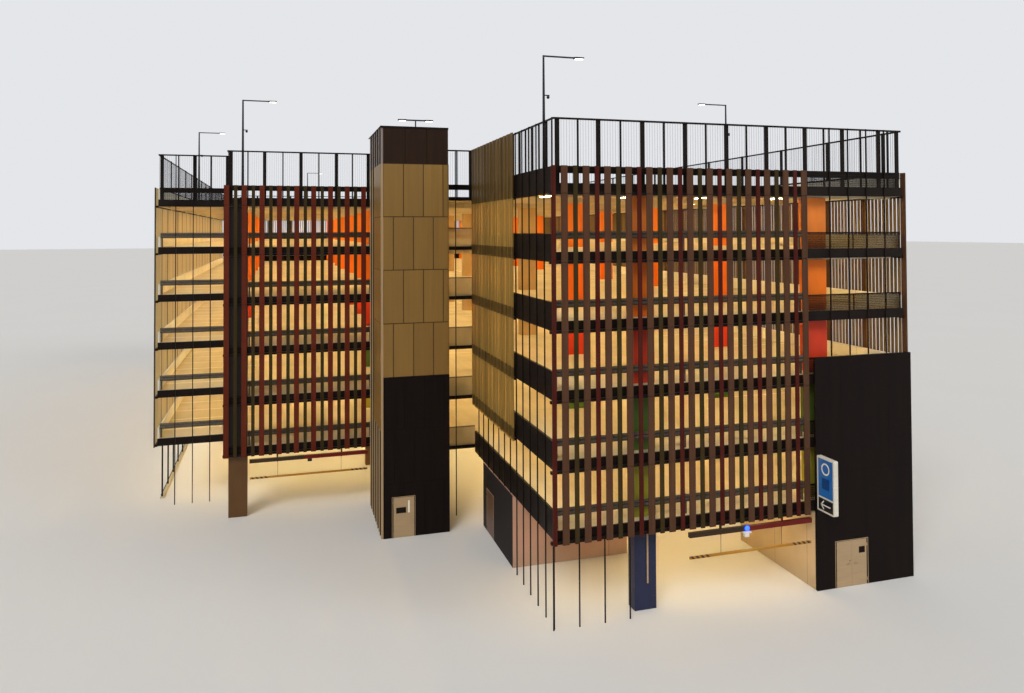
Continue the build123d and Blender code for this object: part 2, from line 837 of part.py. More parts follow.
room_leaf_y = room_door_y + door_gap + room_door_width
keep(make_leaf((room_x[0], room_leaf_y, 0), room_door_width, room_door_height, "left",
               facing=(0, -1, 0), outwards=(-1, 0, 0)), "room_door")

# Blade sign on the black wall: a rounded box with two sunk fields on each side
sign_x = black_wall_x + sign_inset
sign_y = (front_y - sign_reach, front_y)
sign_top = sign_bottom + sign_height
field_y = (sign_y[0] + sign_border, sign_y[1] - sign_border)
field_split = sign_bottom + sign_lower_field
with BuildPart() as blade_sign:
    with BuildSketch(side_plane(sign_x - sign_thickness / 2)):
        area(sign_y, (sign_bottom, sign_top))
        fillet(vertices().group_by(Axis.X)[0], sign_corner)
    extrude(amount=sign_thickness)
    for x, way in ((sign_x - sign_thickness / 2, 1), (sign_x + sign_thickness / 2, -1)):
        with BuildSketch(side_plane(x)):
            area(field_y, (sign_bottom + sign_border, field_split - sign_border / 2))
            area(field_y, (field_split + sign_border / 2, sign_top - sign_border))
        extrude(amount=way * sign_recess, mode=Mode.SUBTRACT)
keep(blade_sign, "blade_sign")

# Clearance beams over the two ways in, hung from the deck, and the bars that swing under them
entries = {
    "near": ((room_x[1], black_wall_x), front_y),
    "left": ((box_column[0] + column_width / 2, tower_left_x - rib_depth), box_y),
}
swing_z = beam_sign_bottom - seat_gap - bar_sleeve_radius
entry_inset = facing_inset + facing_thickness / 2
with BuildPart() as clearance_beams:
    for (low_x, high_x), y in entries.values():
        run = (low_x + beam_sign_margin, high_x - beam_sign_margin)
        with BuildSketch(front_plane(y + entry_inset - beam_sign_depth / 2)):
            area(run, (beam_sign_bottom, beam_sign_bottom + beam_sign_height))
        extrude(amount=-beam_sign_depth)
        with BuildSketch(front_plane(y + entry_inset - hanger_size / 2)):
            for x in (run[0] + bar_wire_inset, run[1] - bar_wire_inset):
                area(around(x, hanger_size), (beam_sign_bottom + beam_sign_height, soffit(1)))
        extrude(amount=-hanger_size)
keep(clearance_beams, "clearance_beams")


def make_bar(x_range, y):
    """A bar on two wires, each wire with a sleeve at its top that turns on the swing axis."""
    middle = y + entry_inset
    end_inset = beam_sign_margin + bar_margin
    run = (x_range[0] + end_inset, x_range[1] - end_inset)
    wires = (run[0] + bar_wire_inset, run[1] - bar_wire_inset)
    with BuildPart() as piece:
        with BuildSketch(front_plane(middle - bar_depth / 2)):
            area(run, (bar_bottom, bar_bottom + bar_height))
        extrude(amount=-bar_depth)
        with BuildSketch(Plane.XY.offset(bar_bottom + bar_height)):
            with Locations(*[(x, middle) for x in wires]):
                Rectangle(bar_wire_size, bar_wire_size)
        extrude(amount=swing_z - bar_bottom - bar_height)
        with BuildSketch(*[side_plane(x - bar_sleeve_length / 2) for x in wires]):
            with Locations((middle, swing_z)):
                Circle(bar_sleeve_radius)
        extrude(amount=bar_sleeve_length)
    return piece


for name, (x_range, y) in entries.items():
    keep(make_bar(x_range, y), f"{name}_height_bar")


# Lamps on tapered eight-sided poles, whose arm and flat head reach to one side, and one on the tower
sides_of_arm = {"left": -1, "right": 1}
pole_top = roof_top + lamp_pole_height
tower_lamp_x = sum(tower_x) / 2
tower_lamp_y = tower_front_y + tower_wall / 2
tower_lamp_top = tower_height + tower_lamp_height
with BuildPart() as roof_lamps:
    for x, y, arm_side in lamp_poles:
        arm_end = x + sides_of_arm[arm_side] * lamp_arm_reach
        head_end = arm_end + sides_of_arm[arm_side] * lamp_head_length
        with BuildSketch(Plane.XY.offset(roof_top)):
            with Locations((x, y)):
                Rectangle(lamp_foot_size, lamp_foot_size)
        extrude(amount=lamp_foot_height)
        with BuildSketch(Plane.XY.offset(roof_top + lamp_foot_height)):
            with Locations((x, y)):
                RegularPolygon(lamp_pole_radius, pole_sides)
        with BuildSketch(Plane.XY.offset(pole_top)):
            with Locations((x, y)):
                RegularPolygon(lamp_pole_top_radius, pole_sides)
        loft()
        with BuildSketch(Plane.XY.offset(pole_top)):
            area(sorted((x, arm_end)), around(y, lamp_arm_size))
        extrude(amount=-lamp_arm_size)
        with BuildSketch(front_plane(y - lamp_head_width / 2)):
            Polygon((arm_end, pole_top), (head_end, pole_top), (head_end, pole_top - lamp_head_height / 2),
                    (arm_end, pole_top - lamp_head_height), align=None)
        extrude(amount=-lamp_head_width)
    with BuildSketch(front_plane(tower_lamp_y - lamp_arm_size / 2)):
        area(around(tower_lamp_x, lamp_arm_size), (tower_height, tower_lamp_top))
        area(around(tower_lamp_x, tower_lamp_span), (tower_lamp_top - lamp_head_height, tower_lamp_top))
    extrude(amount=-lamp_arm_size)
    with BuildSketch(Plane.XY.offset(tower_lamp_top)):
        with GridLocations(tower_lamp_span - lamp_head_length, 0, 2, 1):
            with Locations((tower_lamp_x, tower_lamp_y)):
                Rectangle(lamp_head_length, lamp_head_width)
    extrude(amount=-lamp_head_height)
keep(roof_lamps, "roof_lamps")

# Kerb on the ground along the left side, with a fence on it
ground_fence_y = (front_y + ground_fence_start, rear_y - slab_inset)
kerb_x = left_x + slab_inset
with BuildPart() as ground_kerb:
    with BuildSketch(front_plane(ground_fence_y[0])):
        area(around(kerb_x, kerb_width), (0, kerb_height))
        chamfer(vertices().group_by(Axis.Y)[-1], kerb_bevel)
    extrude(amount=ground_fence_y[0] - ground_fence_y[1])
keep(ground_kerb, "ground_kerb")

post_ends = (ground_fence_y[0] + ground_post_size / 2, ground_fence_y[1] - ground_post_size / 2)
post_top = room_top - seat_gap
with BuildPart() as ground_fence:
    with BuildSketch(side_plane(kerb_x - ground_post_size / 2)):
        draw_fins(steps(*post_ends, ground_post_pitch), ground_post_size, [(kerb_height, post_top)])
    extrude(amount=ground_post_size)
    with BuildSketch(side_plane(kerb_x - ground_post_size / 2 - ground_rail_depth - seat_gap)):
        for low in (kerb_height + ground_rail_height, post_top - 2 * ground_rail_height):
            area(ground_fence_y, (low, low + ground_rail_height))
    extrude(amount=ground_rail_depth)
keep(ground_fence, "ground_fence")
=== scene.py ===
"""Finishes, light fittings, wires and signs of a multi storey car park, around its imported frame."""
import math

import bmesh
import bpy
from bpy.props import FloatProperty, FloatVectorProperty, PointerProperty
from mathutils import Matrix, Vector


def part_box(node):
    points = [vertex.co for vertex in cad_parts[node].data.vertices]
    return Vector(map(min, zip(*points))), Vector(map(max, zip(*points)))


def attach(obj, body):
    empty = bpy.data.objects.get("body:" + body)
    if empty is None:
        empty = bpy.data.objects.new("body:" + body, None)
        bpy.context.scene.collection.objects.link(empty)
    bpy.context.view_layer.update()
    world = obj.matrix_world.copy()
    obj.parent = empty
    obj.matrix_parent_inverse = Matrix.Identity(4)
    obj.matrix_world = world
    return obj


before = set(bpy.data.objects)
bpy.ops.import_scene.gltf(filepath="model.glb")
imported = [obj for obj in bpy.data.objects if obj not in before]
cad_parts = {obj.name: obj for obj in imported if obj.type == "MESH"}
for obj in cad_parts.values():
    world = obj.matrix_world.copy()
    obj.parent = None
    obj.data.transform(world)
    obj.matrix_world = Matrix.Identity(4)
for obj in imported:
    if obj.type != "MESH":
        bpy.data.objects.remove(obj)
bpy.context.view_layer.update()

bl_info = {
    "name": "Multi Storey Car Park",
    "version": (1, 0, 0),
    "blender": (4, 5, 0),
    "location": "View3D > Sidebar > Car Park",
    "description": "Dresses the frame of a louvred multi storey car park",
    "category": "Add Mesh",
}

# Lines of the plan and heights, all in metres, read from the frame
FRONT_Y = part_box("front_wide_fins")[0].y
REAR_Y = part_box("rear_fins")[1].y
LEFT_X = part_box("left_side_fins")[0].x
RIGHT_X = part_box("right_side_fins")[1].x
NEAR_LEFT_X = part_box("bronze_screen")[0].x
RECESS_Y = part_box("bronze_screen")[1].y
BOX_LEFT_X, BOX_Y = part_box("box_wide_fins")[0].xy
TOWER_LOW, TOWER_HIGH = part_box("tower_walls")
FACING_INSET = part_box("spandrel_bands")[0].y - FRONT_Y
SLAB_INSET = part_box("parking_decks")[0].y - FRONT_Y
BAY_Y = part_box("facade_rods")[1].y - FACING_INSET
ROOF_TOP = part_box("roof_deck")[1].z
FENCE_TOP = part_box("roof_fence_rails")[1].z
STOREY = ROOF_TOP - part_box("parking_decks")[1].z
FIRST_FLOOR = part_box("mesh_barriers")[0].z
BARRIER_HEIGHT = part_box("mesh_barriers")[1].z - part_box("parking_decks")[1].z
DECK_TOPS = [FIRST_FLOOR + i * STOREY for i in range(6)]
SCREEN_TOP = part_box("front_wide_fins")[1].z
EDGE_DROP = DECK_TOPS[0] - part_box("deck_edges")[0].z
PANEL_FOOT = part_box("tower_base_cladding")[1].z

# Sizes and places of the frame's pieces that its boxes don't give, in metres
PANEL_WIDTH, PANEL_HEIGHT = 0.53, 1.4
RIB_PITCH = 0.25
# From the near block's left edge to its first narrow fin, and from one narrow fin to the next
FIRST_NARROW_FIN, NARROW_FIN_PITCH = 0.072, 0.4725
COLUMN_SPACING, ROW_SPACING = 4.35, 4.0
RIGHT_COLUMNS_X, FIRST_ROW_Y = RIGHT_X - 2.26, FRONT_Y + 0.5
BAR_HEIGHT = 0.051
# The beams change colour, and the beacon stands, at this share of a bar's length
BEAM_SPLIT = 0.45


def to_linear(hex_colour):
    """Turns an sRGB hex value such as #8a7a20 into linear red, green and blue."""
    channels = [int(hex_colour[i:i + 2], 16) / 255 for i in (1, 3, 5)]
    return [c / 12.92 if c <= 0.04045 else ((c + 0.055) / 1.055) ** 2.4 for c in channels]


def colour_property(name, description, hex_colour):
    """A colour that a user can change, with its default given in sRGB hex."""
    return FloatVectorProperty(name=name, description=description, subtype="COLOR", size=3,
                               min=0, max=1, default=to_linear(hex_colour))


def length_property(name, description, default):
    """A length that a user can change, in metres."""
    return FloatProperty(name=name, description=description, default=default, min=0, unit="LENGTH")


class CarParkFinishes(bpy.types.PropertyGroup):
    """Colours of the finishes."""
    concrete: colour_property("Concrete", "Trowelled decks", "#c9bb9d")
    soffit: colour_property("Soffit", "Pale painted underside of the decks", "#e2d2a6")
    black_steel: colour_property("Black steel", "Satin black powder coat", "#120a07")
    brown: colour_property("Brown fins", "Satin brown powder coat", "#4f3322")
    red: colour_property("Red fins", "Satin deep red powder coat", "#5c210f")
    olive: colour_property("Olive fins", "Satin dark olive powder coat", "#35280f")
    bronze: colour_property("Bronze", "Dull golden bronze sheet", "#ab8643")
    panel: colour_property("Tower panels", "Dull golden bronze panels", "#8c6a34")
    champagne: colour_property("Champagne", "Pale bronze sheet of the side blades", "#c4ab78")
    cap: colour_property("Tower cap", "Satin dark brown panels", "#291b11")
    beige: colour_property("Beige", "Painted plaster walls", "#c2a983")
    door: colour_property("Doors", "Beige door enamel", "#a98d68")
    lamp_light: colour_property("Lamp light", "Warm white light of the ceiling fittings", "#ffdf9e")


class CarParkSizes(bpy.types.PropertyGroup):
    """Sizes of the small pieces."""
    wire: length_property("Fence wire", "Thickness of a fence wire", 0.003)
    mesh_wire: length_property("Mesh wire", "Thickness of a barrier wire", 0.008)
    fence_wire_pitch: length_property("Fence wire pitch", "From one fence wire to the next", 0.06)
    mesh_wire_pitch: length_property("Mesh wire pitch", "From one barrier wire to the next", 0.02)
    side_blade_pitch: length_property("Side blade pitch", "From one blade of the sides to the next", 0.12)
    blade_pitch: length_property("Blade pitch", "From one bronze blade to the next", 0.045)
    fitting_length: length_property("Light fitting length", "Length of a ceiling batten", 0.75)
    fitting_width: length_property("Light fitting width", "Width of a ceiling batten", 0.07)
    bay_width: length_property("Bay width", "Width of a parking bay", 1.3)
    bay_length: length_property("Bay length", "Length of a parking bay", 2.6)
    line_width: length_property("Line width", "Width of a painted bay line", 0.05)
    lamp_strength: FloatProperty(name="Lamp strength", description="Strength of the ceiling fittings",
                                 default=90.0, min=0)


def add_node(tree, kind, links=None, values=None, **settings):
    """Adds a node: settings are its properties, links join sockets to it and values fill sockets."""
    made = tree.nodes.new(kind)
    for key, value in settings.items():
        setattr(made, key, value)
    for socket, value in (values or {}).items():
        made.inputs[socket].default_value = value
    for socket, source in (links or {}).items():
        tree.links.new(source, made.inputs[socket])
    return made


def start_material(name, roughness, metallic=0.0, specular=0.5):
    """A material with its surface shader, and the socket that gives places in metres."""
    material = bpy.data.materials.new(name)
    material.use_nodes = True
    tree = material.node_tree
    shader = tree.nodes["Principled BSDF"]
    shader.inputs["Roughness"].default_value = roughness
    shader.inputs["Metallic"].default_value = metallic
    shader.inputs["Specular IOR Level"].default_value = specular
    place = add_node(tree, "ShaderNodeTexCoord").outputs["Object"]
    return material, tree, shader, place


def opaque(colour, shade=1.0):
    """A colour made darker or paler, with the fourth channel that sockets want."""
    return [min(1.0, c * shade) for c in colour] + [1.0]


def mix(tree, factor, first, second):
    """Mixes two colours, each a plain colour or a socket, by a factor socket; gives the mixed socket."""
    values, links = {}, {0: factor}
    for index, colour in ((6, first), (7, second)):
        if isinstance(colour, bpy.types.NodeSocket):
            links[index] = colour
        else:
            values[index] = colour
    return add_node(tree, "ShaderNodeMix", links, values, data_type="RGBA").outputs[2]


def shades(tree, factor, colour, darkest, palest):
    """One colour that goes from a darker to a paler shade with a factor socket."""
    return mix(tree, factor, opaque(colour, darkest), opaque(colour, palest))


def stretched(tree, place, scale):
    """Places scaled on each axis, which stretches a pattern along the small ones."""
    return add_node(tree, "ShaderNodeMapping", {"Vector": place}, {"Scale": scale}).outputs["Vector"]


def cloud(tree, place, size, detail=4.0):
    """Soft random patches about one size across, in metres, from 0 to 1."""
    noise = add_node(tree, "ShaderNodeTexNoise", {"Vector": place}, {"Scale": 1 / size, "Detail": detail})
    return add_node(tree, "ShaderNodeMapRange", {"Value": noise.outputs["Fac"]},
                    {"From Min": 0.3, "From Max": 0.7}).outputs["Result"]


def axis_value(tree, place, axis):
    """One coordinate of a place."""
    return add_node(tree, "ShaderNodeSeparateXYZ", {"Vector": place}).outputs[axis]


def maths(tree, operation, first, second=0.0):
    """The result of a sum on a socket and a number or another socket."""
    values, links = {}, {0: first}
    if isinstance(second, bpy.types.NodeSocket):
        links[1] = second
    else:
        values[1] = second
    return add_node(tree, "ShaderNodeMath", links, values, operation=operation).outputs["Value"]


def joint_lines(tree, coordinate, pitch, start, width):
    """1 on lines of a width that repeat at a pitch along a coordinate, and 0 between them."""
    shifted = maths(tree, "SUBTRACT", coordinate, start - width / 2)
    return maths(tree, "LESS_THAN", maths(tree, "FLOORED_MODULO", shifted, pitch), width)


def between(tree, value, low, high):
    """1 where a value lies between two numbers, and 0 elsewhere."""
    return maths(tree, "MULTIPLY", maths(tree, "GREATER_THAN", value, low),
                 maths(tree, "LESS_THAN", value, high))


def in_plan(tree, place, low, high):
    """1 where a place lies between two corners in plan, and 0 elsewhere."""
    return maths(tree, "MULTIPLY", between(tree, axis_value(tree, place, "X"), low[0], high[0]),
                 between(tree, axis_value(tree, place, "Y"), low[1], high[1]))


def plan_run(tree, place):
    """X and Y added, which runs along a front as well as along a side."""
    return maths(tree, "ADD", axis_value(tree, place, "X"), axis_value(tree, place, "Y"))


def add_bump(tree, shader, height, distance, strength):
    """Raises the surface by a height socket."""
    bump = add_node(tree, "ShaderNodeBump", {"Height": height}, {"Distance": distance, "Strength": strength})
    tree.links.new(bump.outputs["Normal"], shader.inputs["Normal"])


def trowelled_concrete(finishes):
    """Trowelled concrete decks: cloudy, with fine grit and saw cuts, and pale painted soffits."""
    material, tree, shader, place = start_material("trowelled_concrete", 0.82, specular=0.3)
    patches = cloud(tree, place, 1.4)
    colour = shades(tree, patches, finishes.concrete, 0.86, 1.08)
    # tyres polish and darken the aisles in long streaks
    tyres = cloud(tree, stretched(tree, place, (5.0, 0.35, 1.0)), 1.0)
    colour = mix(tree, maths(tree, "MULTIPLY", tyres, 0.22), colour, opaque(finishes.concrete, 0.55))
    # grit of about 2 mm is drawn 12 mm across so that it shows
    grit = cloud(tree, place, 0.012, 2.0)
    colour = mix(tree, maths(tree, "MULTIPLY", grit, 0.12), colour, opaque(finishes.concrete, 1.25))
    # saw cuts run from column to column
    cut_width = 0.01
    cuts = maths(tree, "MAXIMUM",
                 joint_lines(tree, axis_value(tree, place, "X"), COLUMN_SPACING, RIGHT_COLUMNS_X, cut_width),
                 joint_lines(tree, axis_value(tree, place, "Y"), ROW_SPACING, FIRST_ROW_Y, cut_width))
    colour = mix(tree, maths(tree, "MULTIPLY", cuts, 0.6), colour, opaque(finishes.concrete, 0.35))
    facing = add_node(tree, "ShaderNodeNewGeometry").outputs["Normal"]
    below = maths(tree, "LESS_THAN", axis_value(tree, facing, "Z"), -0.5)
    colour = mix(tree, below, colour, shades(tree, patches, finishes.soffit, 0.92, 1.0))
    tree.links.new(colour, shader.inputs["Base Color"])
    add_bump(tree, shader, grit, 0.001, 0.25)
    return material


def column_enamel(name, hex_colour, others):
    """Painted concrete columns; others gives colours for the columns between two corners in plan."""
    material, tree, shader, place = start_material(name, 0.5, specular=0.3)
    patches = cloud(tree, stretched(tree, place, (1.0, 1.0, 0.4)), 0.3)
    coat = shades(tree, patches, to_linear(hex_colour), 0.88, 1.06)
    for other_hex, low, high in others:
        other = shades(tree, patches, to_linear(other_hex), 0.88, 1.06)
        coat = mix(tree, in_plan(tree, place, low, high), coat, other)
    tree.links.new(coat, shader.inputs["Base Color"])
    # roller stipple of about 1 mm is drawn 8 mm across so that it shows
    add_bump(tree, shader, cloud(tree, place, 0.008, 1.0), 0.0006, 0.3)
    return material


def powder_coat(name, colour, finishes, second=None, start=0.0, pitch=1.0):
    """Powder-coated aluminium: satin, with faint streaks; two colours may take turns along X."""
    material, tree, shader, place = start_material(name, 0.48, specular=0.1)
    streaks = cloud(tree, stretched(tree, place, (14.0, 14.0, 0.5)), 1.0, 3.0)
    coat = shades(tree, streaks, colour, 0.86, 1.12)
    if second is not None:
        other = shades(tree, streaks, second, 0.86, 1.12)
        across = maths(tree, "SUBTRACT", axis_value(tree, place, "X"), start)
        turns = maths(tree, "FLOORED_MODULO", across, 2 * pitch)
        coat = mix(tree, maths(tree, "GREATER_THAN", turns, pitch), coat, other)
    # a little road dust lies on the coat in soft patches
    dust = maths(tree, "MULTIPLY", cloud(tree, place, 0.5), 0.015)
    tree.links.new(mix(tree, dust, coat, opaque(finishes.concrete, 0.8)), shader.inputs["Base Color"])
    # orange peel of about 1 mm is drawn 6 mm across so that it shows
    add_bump(tree, shader, cloud(tree, place, 0.006, 1.0), 0.0003, 0.2)
    return material


def panel_rows(tree, across, height, row_height, foot, shift):
    """Row numbers up a wall, and the coordinate across moved by a shift in every even row."""
    row = maths(tree, "FLOOR", maths(tree, "DIVIDE", maths(tree, "SUBTRACT", height, foot), row_height))
    even = maths(tree, "FLOORED_MODULO", maths(tree, "ADD", row, 1.0), 2.0)
    return row, maths(tree, "ADD", across, maths(tree, "MULTIPLY", even, shift))


def panel_tones(tree, across, row, width):
    """A random value from 0 to 1 for each panel of a wall, told apart by its row and its place across."""
    column = maths(tree, "FLOOR", maths(tree, "DIVIDE", across, width))
    cell = add_node(tree, "ShaderNodeCombineXYZ", {"X": column, "Y": row}).outputs["Vector"]
    return add_node(tree, "ShaderNodeTexWhiteNoise", {"Vector": cell}, noise_dimensions="3D").outputs["Value"]


def screen_sheet(finishes):
    """Golden bronze sheet of the screen: fine upright folds with painted highlights, and brown where bands
    stand behind it.
    """
    material, tree, shader, place = start_material("bronze_screen_sheet", 0.4, 0.35, 0.3)
    across, height = axis_value(tree, place, "Y"), axis_value(tree, place, "Z")
    sheet_width = 0.33
    row, across_rows = panel_rows(tree, across, height, STOREY, FIRST_FLOOR, 0.0)
    colour = shades(tree, panel_tones(tree, across_rows, row, sheet_width), finishes.bronze, 0.85, 1.15)
    streaks = cloud(tree, stretched(tree, place, (20.0, 20.0, 0.7)), 1.0, 3.0)
    colour = mix(tree, maths(tree, "MULTIPLY", streaks, 0.4), colour, opaque(finishes.bronze, 0.55))
    # the sheet is folded every 20 mm, and drawn every 60 mm so that the folds show; their bright lines are
    # painted highlights
    folds = joint_lines(tree, across, 0.06, 0.0, 0.012)
    colour = mix(tree, maths(tree, "MULTIPLY", folds, 0.55), colour, opaque(finishes.bronze, 2.0))
    # each band behind the sheet shows through it along its lower part
    band = (EDGE_DROP + BARRIER_HEIGHT) * 0.45
    behind = joint_lines(tree, height, STOREY, FIRST_FLOOR - EDGE_DROP + band / 2, band)
    behind = maths(tree, "MAXIMUM", behind, maths(tree, "GREATER_THAN", height, ROOF_TOP - EDGE_DROP))
    colour = mix(tree, maths(tree, "MULTIPLY", behind, 0.7), colour, opaque(finishes.cap, 0.9))
    tree.links.new(colour, shader.inputs["Base Color"])
    add_bump(tree, shader, folds, 0.003, 0.5)
    return material


def tower_sheet(finishes):
    """Dull golden bronze panels, each a little paler or darker, with faint upright rolling marks."""
    material, tree, shader, place = start_material("bronze_tower_sheet", 0.42, 0.3, 0.3)
    height = axis_value(tree, place, "Z")
    across = maths(tree, "SUBTRACT", plan_run(tree, place), TOWER_LOW.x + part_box("tower_panels")[0].y)
    row, across_rows = panel_rows(tree, across, height, PANEL_HEIGHT, PANEL_FOOT, PANEL_WIDTH / 2)
    colour = shades(tree, panel_tones(tree, across_rows, row, PANEL_WIDTH), finishes.panel, 0.9, 1.1)
    # each panel is two sheets wide, with a shallow fold between them
    folds = joint_lines(tree, across, PANEL_WIDTH / 2, PANEL_WIDTH / 4, 0.008)
    colour = mix(tree, maths(tree, "MULTIPLY", folds, 0.35), colour, opaque(finishes.panel, 0.5))
    marks = cloud(tree, stretched(tree, place, (9.0, 9.0, 0.6)), 1.0, 3.0)
    colour = mix(tree, maths(tree, "MULTIPLY", marks, 0.35), colour, opaque(finishes.panel, 0.72))
    # the panels are dark at the edges of their open joints
    seam_width = 0.022
    seams = maths(tree, "MAXIMUM", joint_lines(tree, across_rows, PANEL_WIDTH, 0.0, seam_width),
                  joint_lines(tree, height, PANEL_HEIGHT, PANEL_FOOT, seam_width))
    colour = mix(tree, maths(tree, "MULTIPLY", seams, 0.8), colour, opaque(finishes.cap))
    tree.links.new(colour, shader.inputs["Base Color"])
    add_bump(tree, shader, marks, 0.002, 0.3)
    return material


def ribs_in_painted_light_and_shade(tree, place, coat, pale, dark):
    """The coat of a wall, with the tower's left ribs in front of it pale and dark by turns, as painted light
    and shade.
    """
    back = maths(tree, "SUBTRACT", axis_value(tree, place, "Y"), TOWER_LOW.y)
    turns = maths(tree, "FLOORED_MODULO", back, 2 * RIB_PITCH)
    # the ribs take turns pale and dark: painted light and painted shade on their faces
    ribs = mix(tree, maths(tree, "GREATER_THAN", turns, RIB_PITCH), opaque(pale), opaque(dark))
    before_wall = maths(tree, "LESS_THAN", axis_value(tree, place, "X"), TOWER_LOW.x - 0.002)
    return mix(tree, before_wall, coat, ribs)


def rib_coat(finishes):
    """Satin coat of the tower's ribs below its cap, beige and black by turns as painted light and shade."""
    material, tree, shader, place = start_material("rib_powder_coat", 0.5, specular=0.2)
    coat = ribs_in_painted_light_and_shade(tree, place, opaque(finishes.door), finishes.door, finishes.black_steel)
    tree.links.new(coat, shader.inputs["Base Color"])
    add_bump(tree, shader, cloud(tree, place, 0.006, 1.0), 0.0003, 0.2)
    return material


def clad_panels(name, colour, finishes, pitch, row_height, start):
    """Satin dark cladding with thin open joints, each row moved half a panel from the one below; the ribs in
    front of it take painted light and shade.
    """
    material, tree, shader, place = start_material(name, 0.6, specular=0.1)
    height = axis_value(tree, place, "Z")
    row = maths(tree, "FLOOR", maths(tree, "DIVIDE", height, row_height))
    shift = maths(tree, "MULTIPLY", maths(tree, "FLOORED_MODULO", row, 2.0), pitch / 2)
    across = maths(tree, "ADD", plan_run(tree, place), shift)
    joint_width = 0.012
    joints = maths(tree, "MAXIMUM", joint_lines(tree, across, pitch, start, joint_width),
                   joint_lines(tree, height, row_height, 0.0, joint_width))
    streaks = cloud(tree, stretched(tree, place, (6.0, 6.0, 0.5)), 1.0)
    coat = shades(tree, streaks, colour, 0.85, 1.25)
    coat = mix(tree, joints, coat, opaque(finishes.black_steel, 0.3))
    # the tower's left ribs in front of the cladding are painted pale and black by turns, as painted light and
    # shade
    coat = ribs_in_painted_light_and_shade(tree, place, coat, to_linear("#8d8078"), finishes.black_steel)
    tree.links.new(coat, shader.inputs["Base Color"])
    add_bump(tree, shader, maths(tree, "SUBTRACT", maths(tree, "MULTIPLY", streaks, 0.2), joints), 0.004, 0.5)
    return material


def wall_panels(name, colour, finishes, pitch, start=0.0, dark_side=False):
    """Painted plaster wall with upright joints, darker towards the foot; its left side may be black sheet."""
    material, tree, shader, place = start_material(name, 0.75, specular=0.3)
    across = plan_run(tree, place)
    joints = joint_lines(tree, across, pitch, start, 0.01)
    coat = shades(tree, cloud(tree, place, 0.8), colour, 0.9, 1.06)
    # the coat turns darker towards the foot, over the lowest half metre
    foot = add_node(tree, "ShaderNodeMapRange", {"Value": axis_value(tree, place, "Z")},
                    {"From Min": 0.0, "From Max": 0.5, "To Min": 0.35, "To Max": 0.0}).outputs["Result"]
    coat = mix(tree, foot, coat, opaque(finishes.concrete, 0.45))
    coat = mix(tree, joints, coat, opaque(colour, 0.35))
    if dark_side:
        facing = add_node(tree, "ShaderNodeNewGeometry").outputs["Normal"]
        left = maths(tree, "LESS_THAN", axis_value(tree, facing, "X"), -0.5)
        seams = joint_lines(tree, across, 0.15, start, 0.012)
        sheet = mix(tree, seams, opaque(finishes.black_steel, 1.3), opaque(finishes.black_steel, 0.4))
        coat = mix(tree, left, coat, sheet)
    tree.links.new(coat, shader.inputs["Base Color"])
    add_bump(tree, shader, cloud(tree, place, 0.015, 2.0), 0.0008, 0.25)
    return material


def enamel(name, colour, roughness=0.4):
    """Brushed-on enamel: even, with soft brush marks across."""
    material, tree, shader, place = start_material(name, roughness)
    marks = cloud(tree, stretched(tree, place, (2.0, 2.0, 18.0)), 1.0, 2.0)
    tree.links.new(shades(tree, marks, colour, 0.93, 1.05), shader.inputs["Base Color"])
    add_bump(tree, shader, marks, 0.0004, 0.2)
    return material


def frosted_glass():
    """Smoked balustrade glass with a frosted film: grey-brown, and clear enough to show what is behind."""
    material, tree, shader, place = start_material("frosted_glass", 0.35, specular=0.3)
    shader.inputs["Transmission Weight"].default_value = 0.75
    shader.inputs["IOR"].default_value = 1.5
    shader.inputs["Alpha"].default_value = 0.5
    veil = cloud(tree, place, 0.4)
    tree.links.new(mix(tree, veil, opaque(to_linear("#868069")), opaque(to_linear("#9b957c"))),
                   shader.inputs["Base Color"])
    return material


def beam_split(node):
    """Where the beam over a height bar changes colour, in X."""
    low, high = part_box(node)
    return low.x + (high.x - low.x) * BEAM_SPLIT


def beam_coat():
    """Satin coat of the clearance beams: each is dark brown at its left and dark red at its right."""
    material, tree, shader, place = start_material("beam_powder_coat", 0.5, specular=0.2)
    across = axis_value(tree, place, "X")
    red = maths(tree, "MAXIMUM", between(tree, across, beam_split("left_height_bar"), NEAR_LEFT_X),
                maths(tree, "GREATER_THAN", across, beam_split("near_height_bar")))
    marks = cloud(tree, stretched(tree, place, (0.5, 8.0, 8.0)), 1.0)
    brown = mix(tree, marks, opaque(to_linear("#2f2014")), opaque(to_linear("#3a2a1b")))
    tree.links.new(mix(tree, red, brown, opaque(to_linear("#66180f"))), shader.inputs["Base Color"])
    return material


def galvanised_steel():
    """Weathered galvanised steel: dull grey-brown with large zinc crystals."""
    material, tree, shader, place = start_material("galvanised_steel", 0.6, 0.3, 0.3)
    crystals = add_node(tree, "ShaderNodeTexVoronoi", {"Vector": place}, {"Scale": 40.0})
    tree.links.new(mix(tree, crystals.outputs["Color"], opaque(to_linear("#4b453b")),
                       opaque(to_linear("#675f51"))), shader.inputs["Base Color"])
    return material


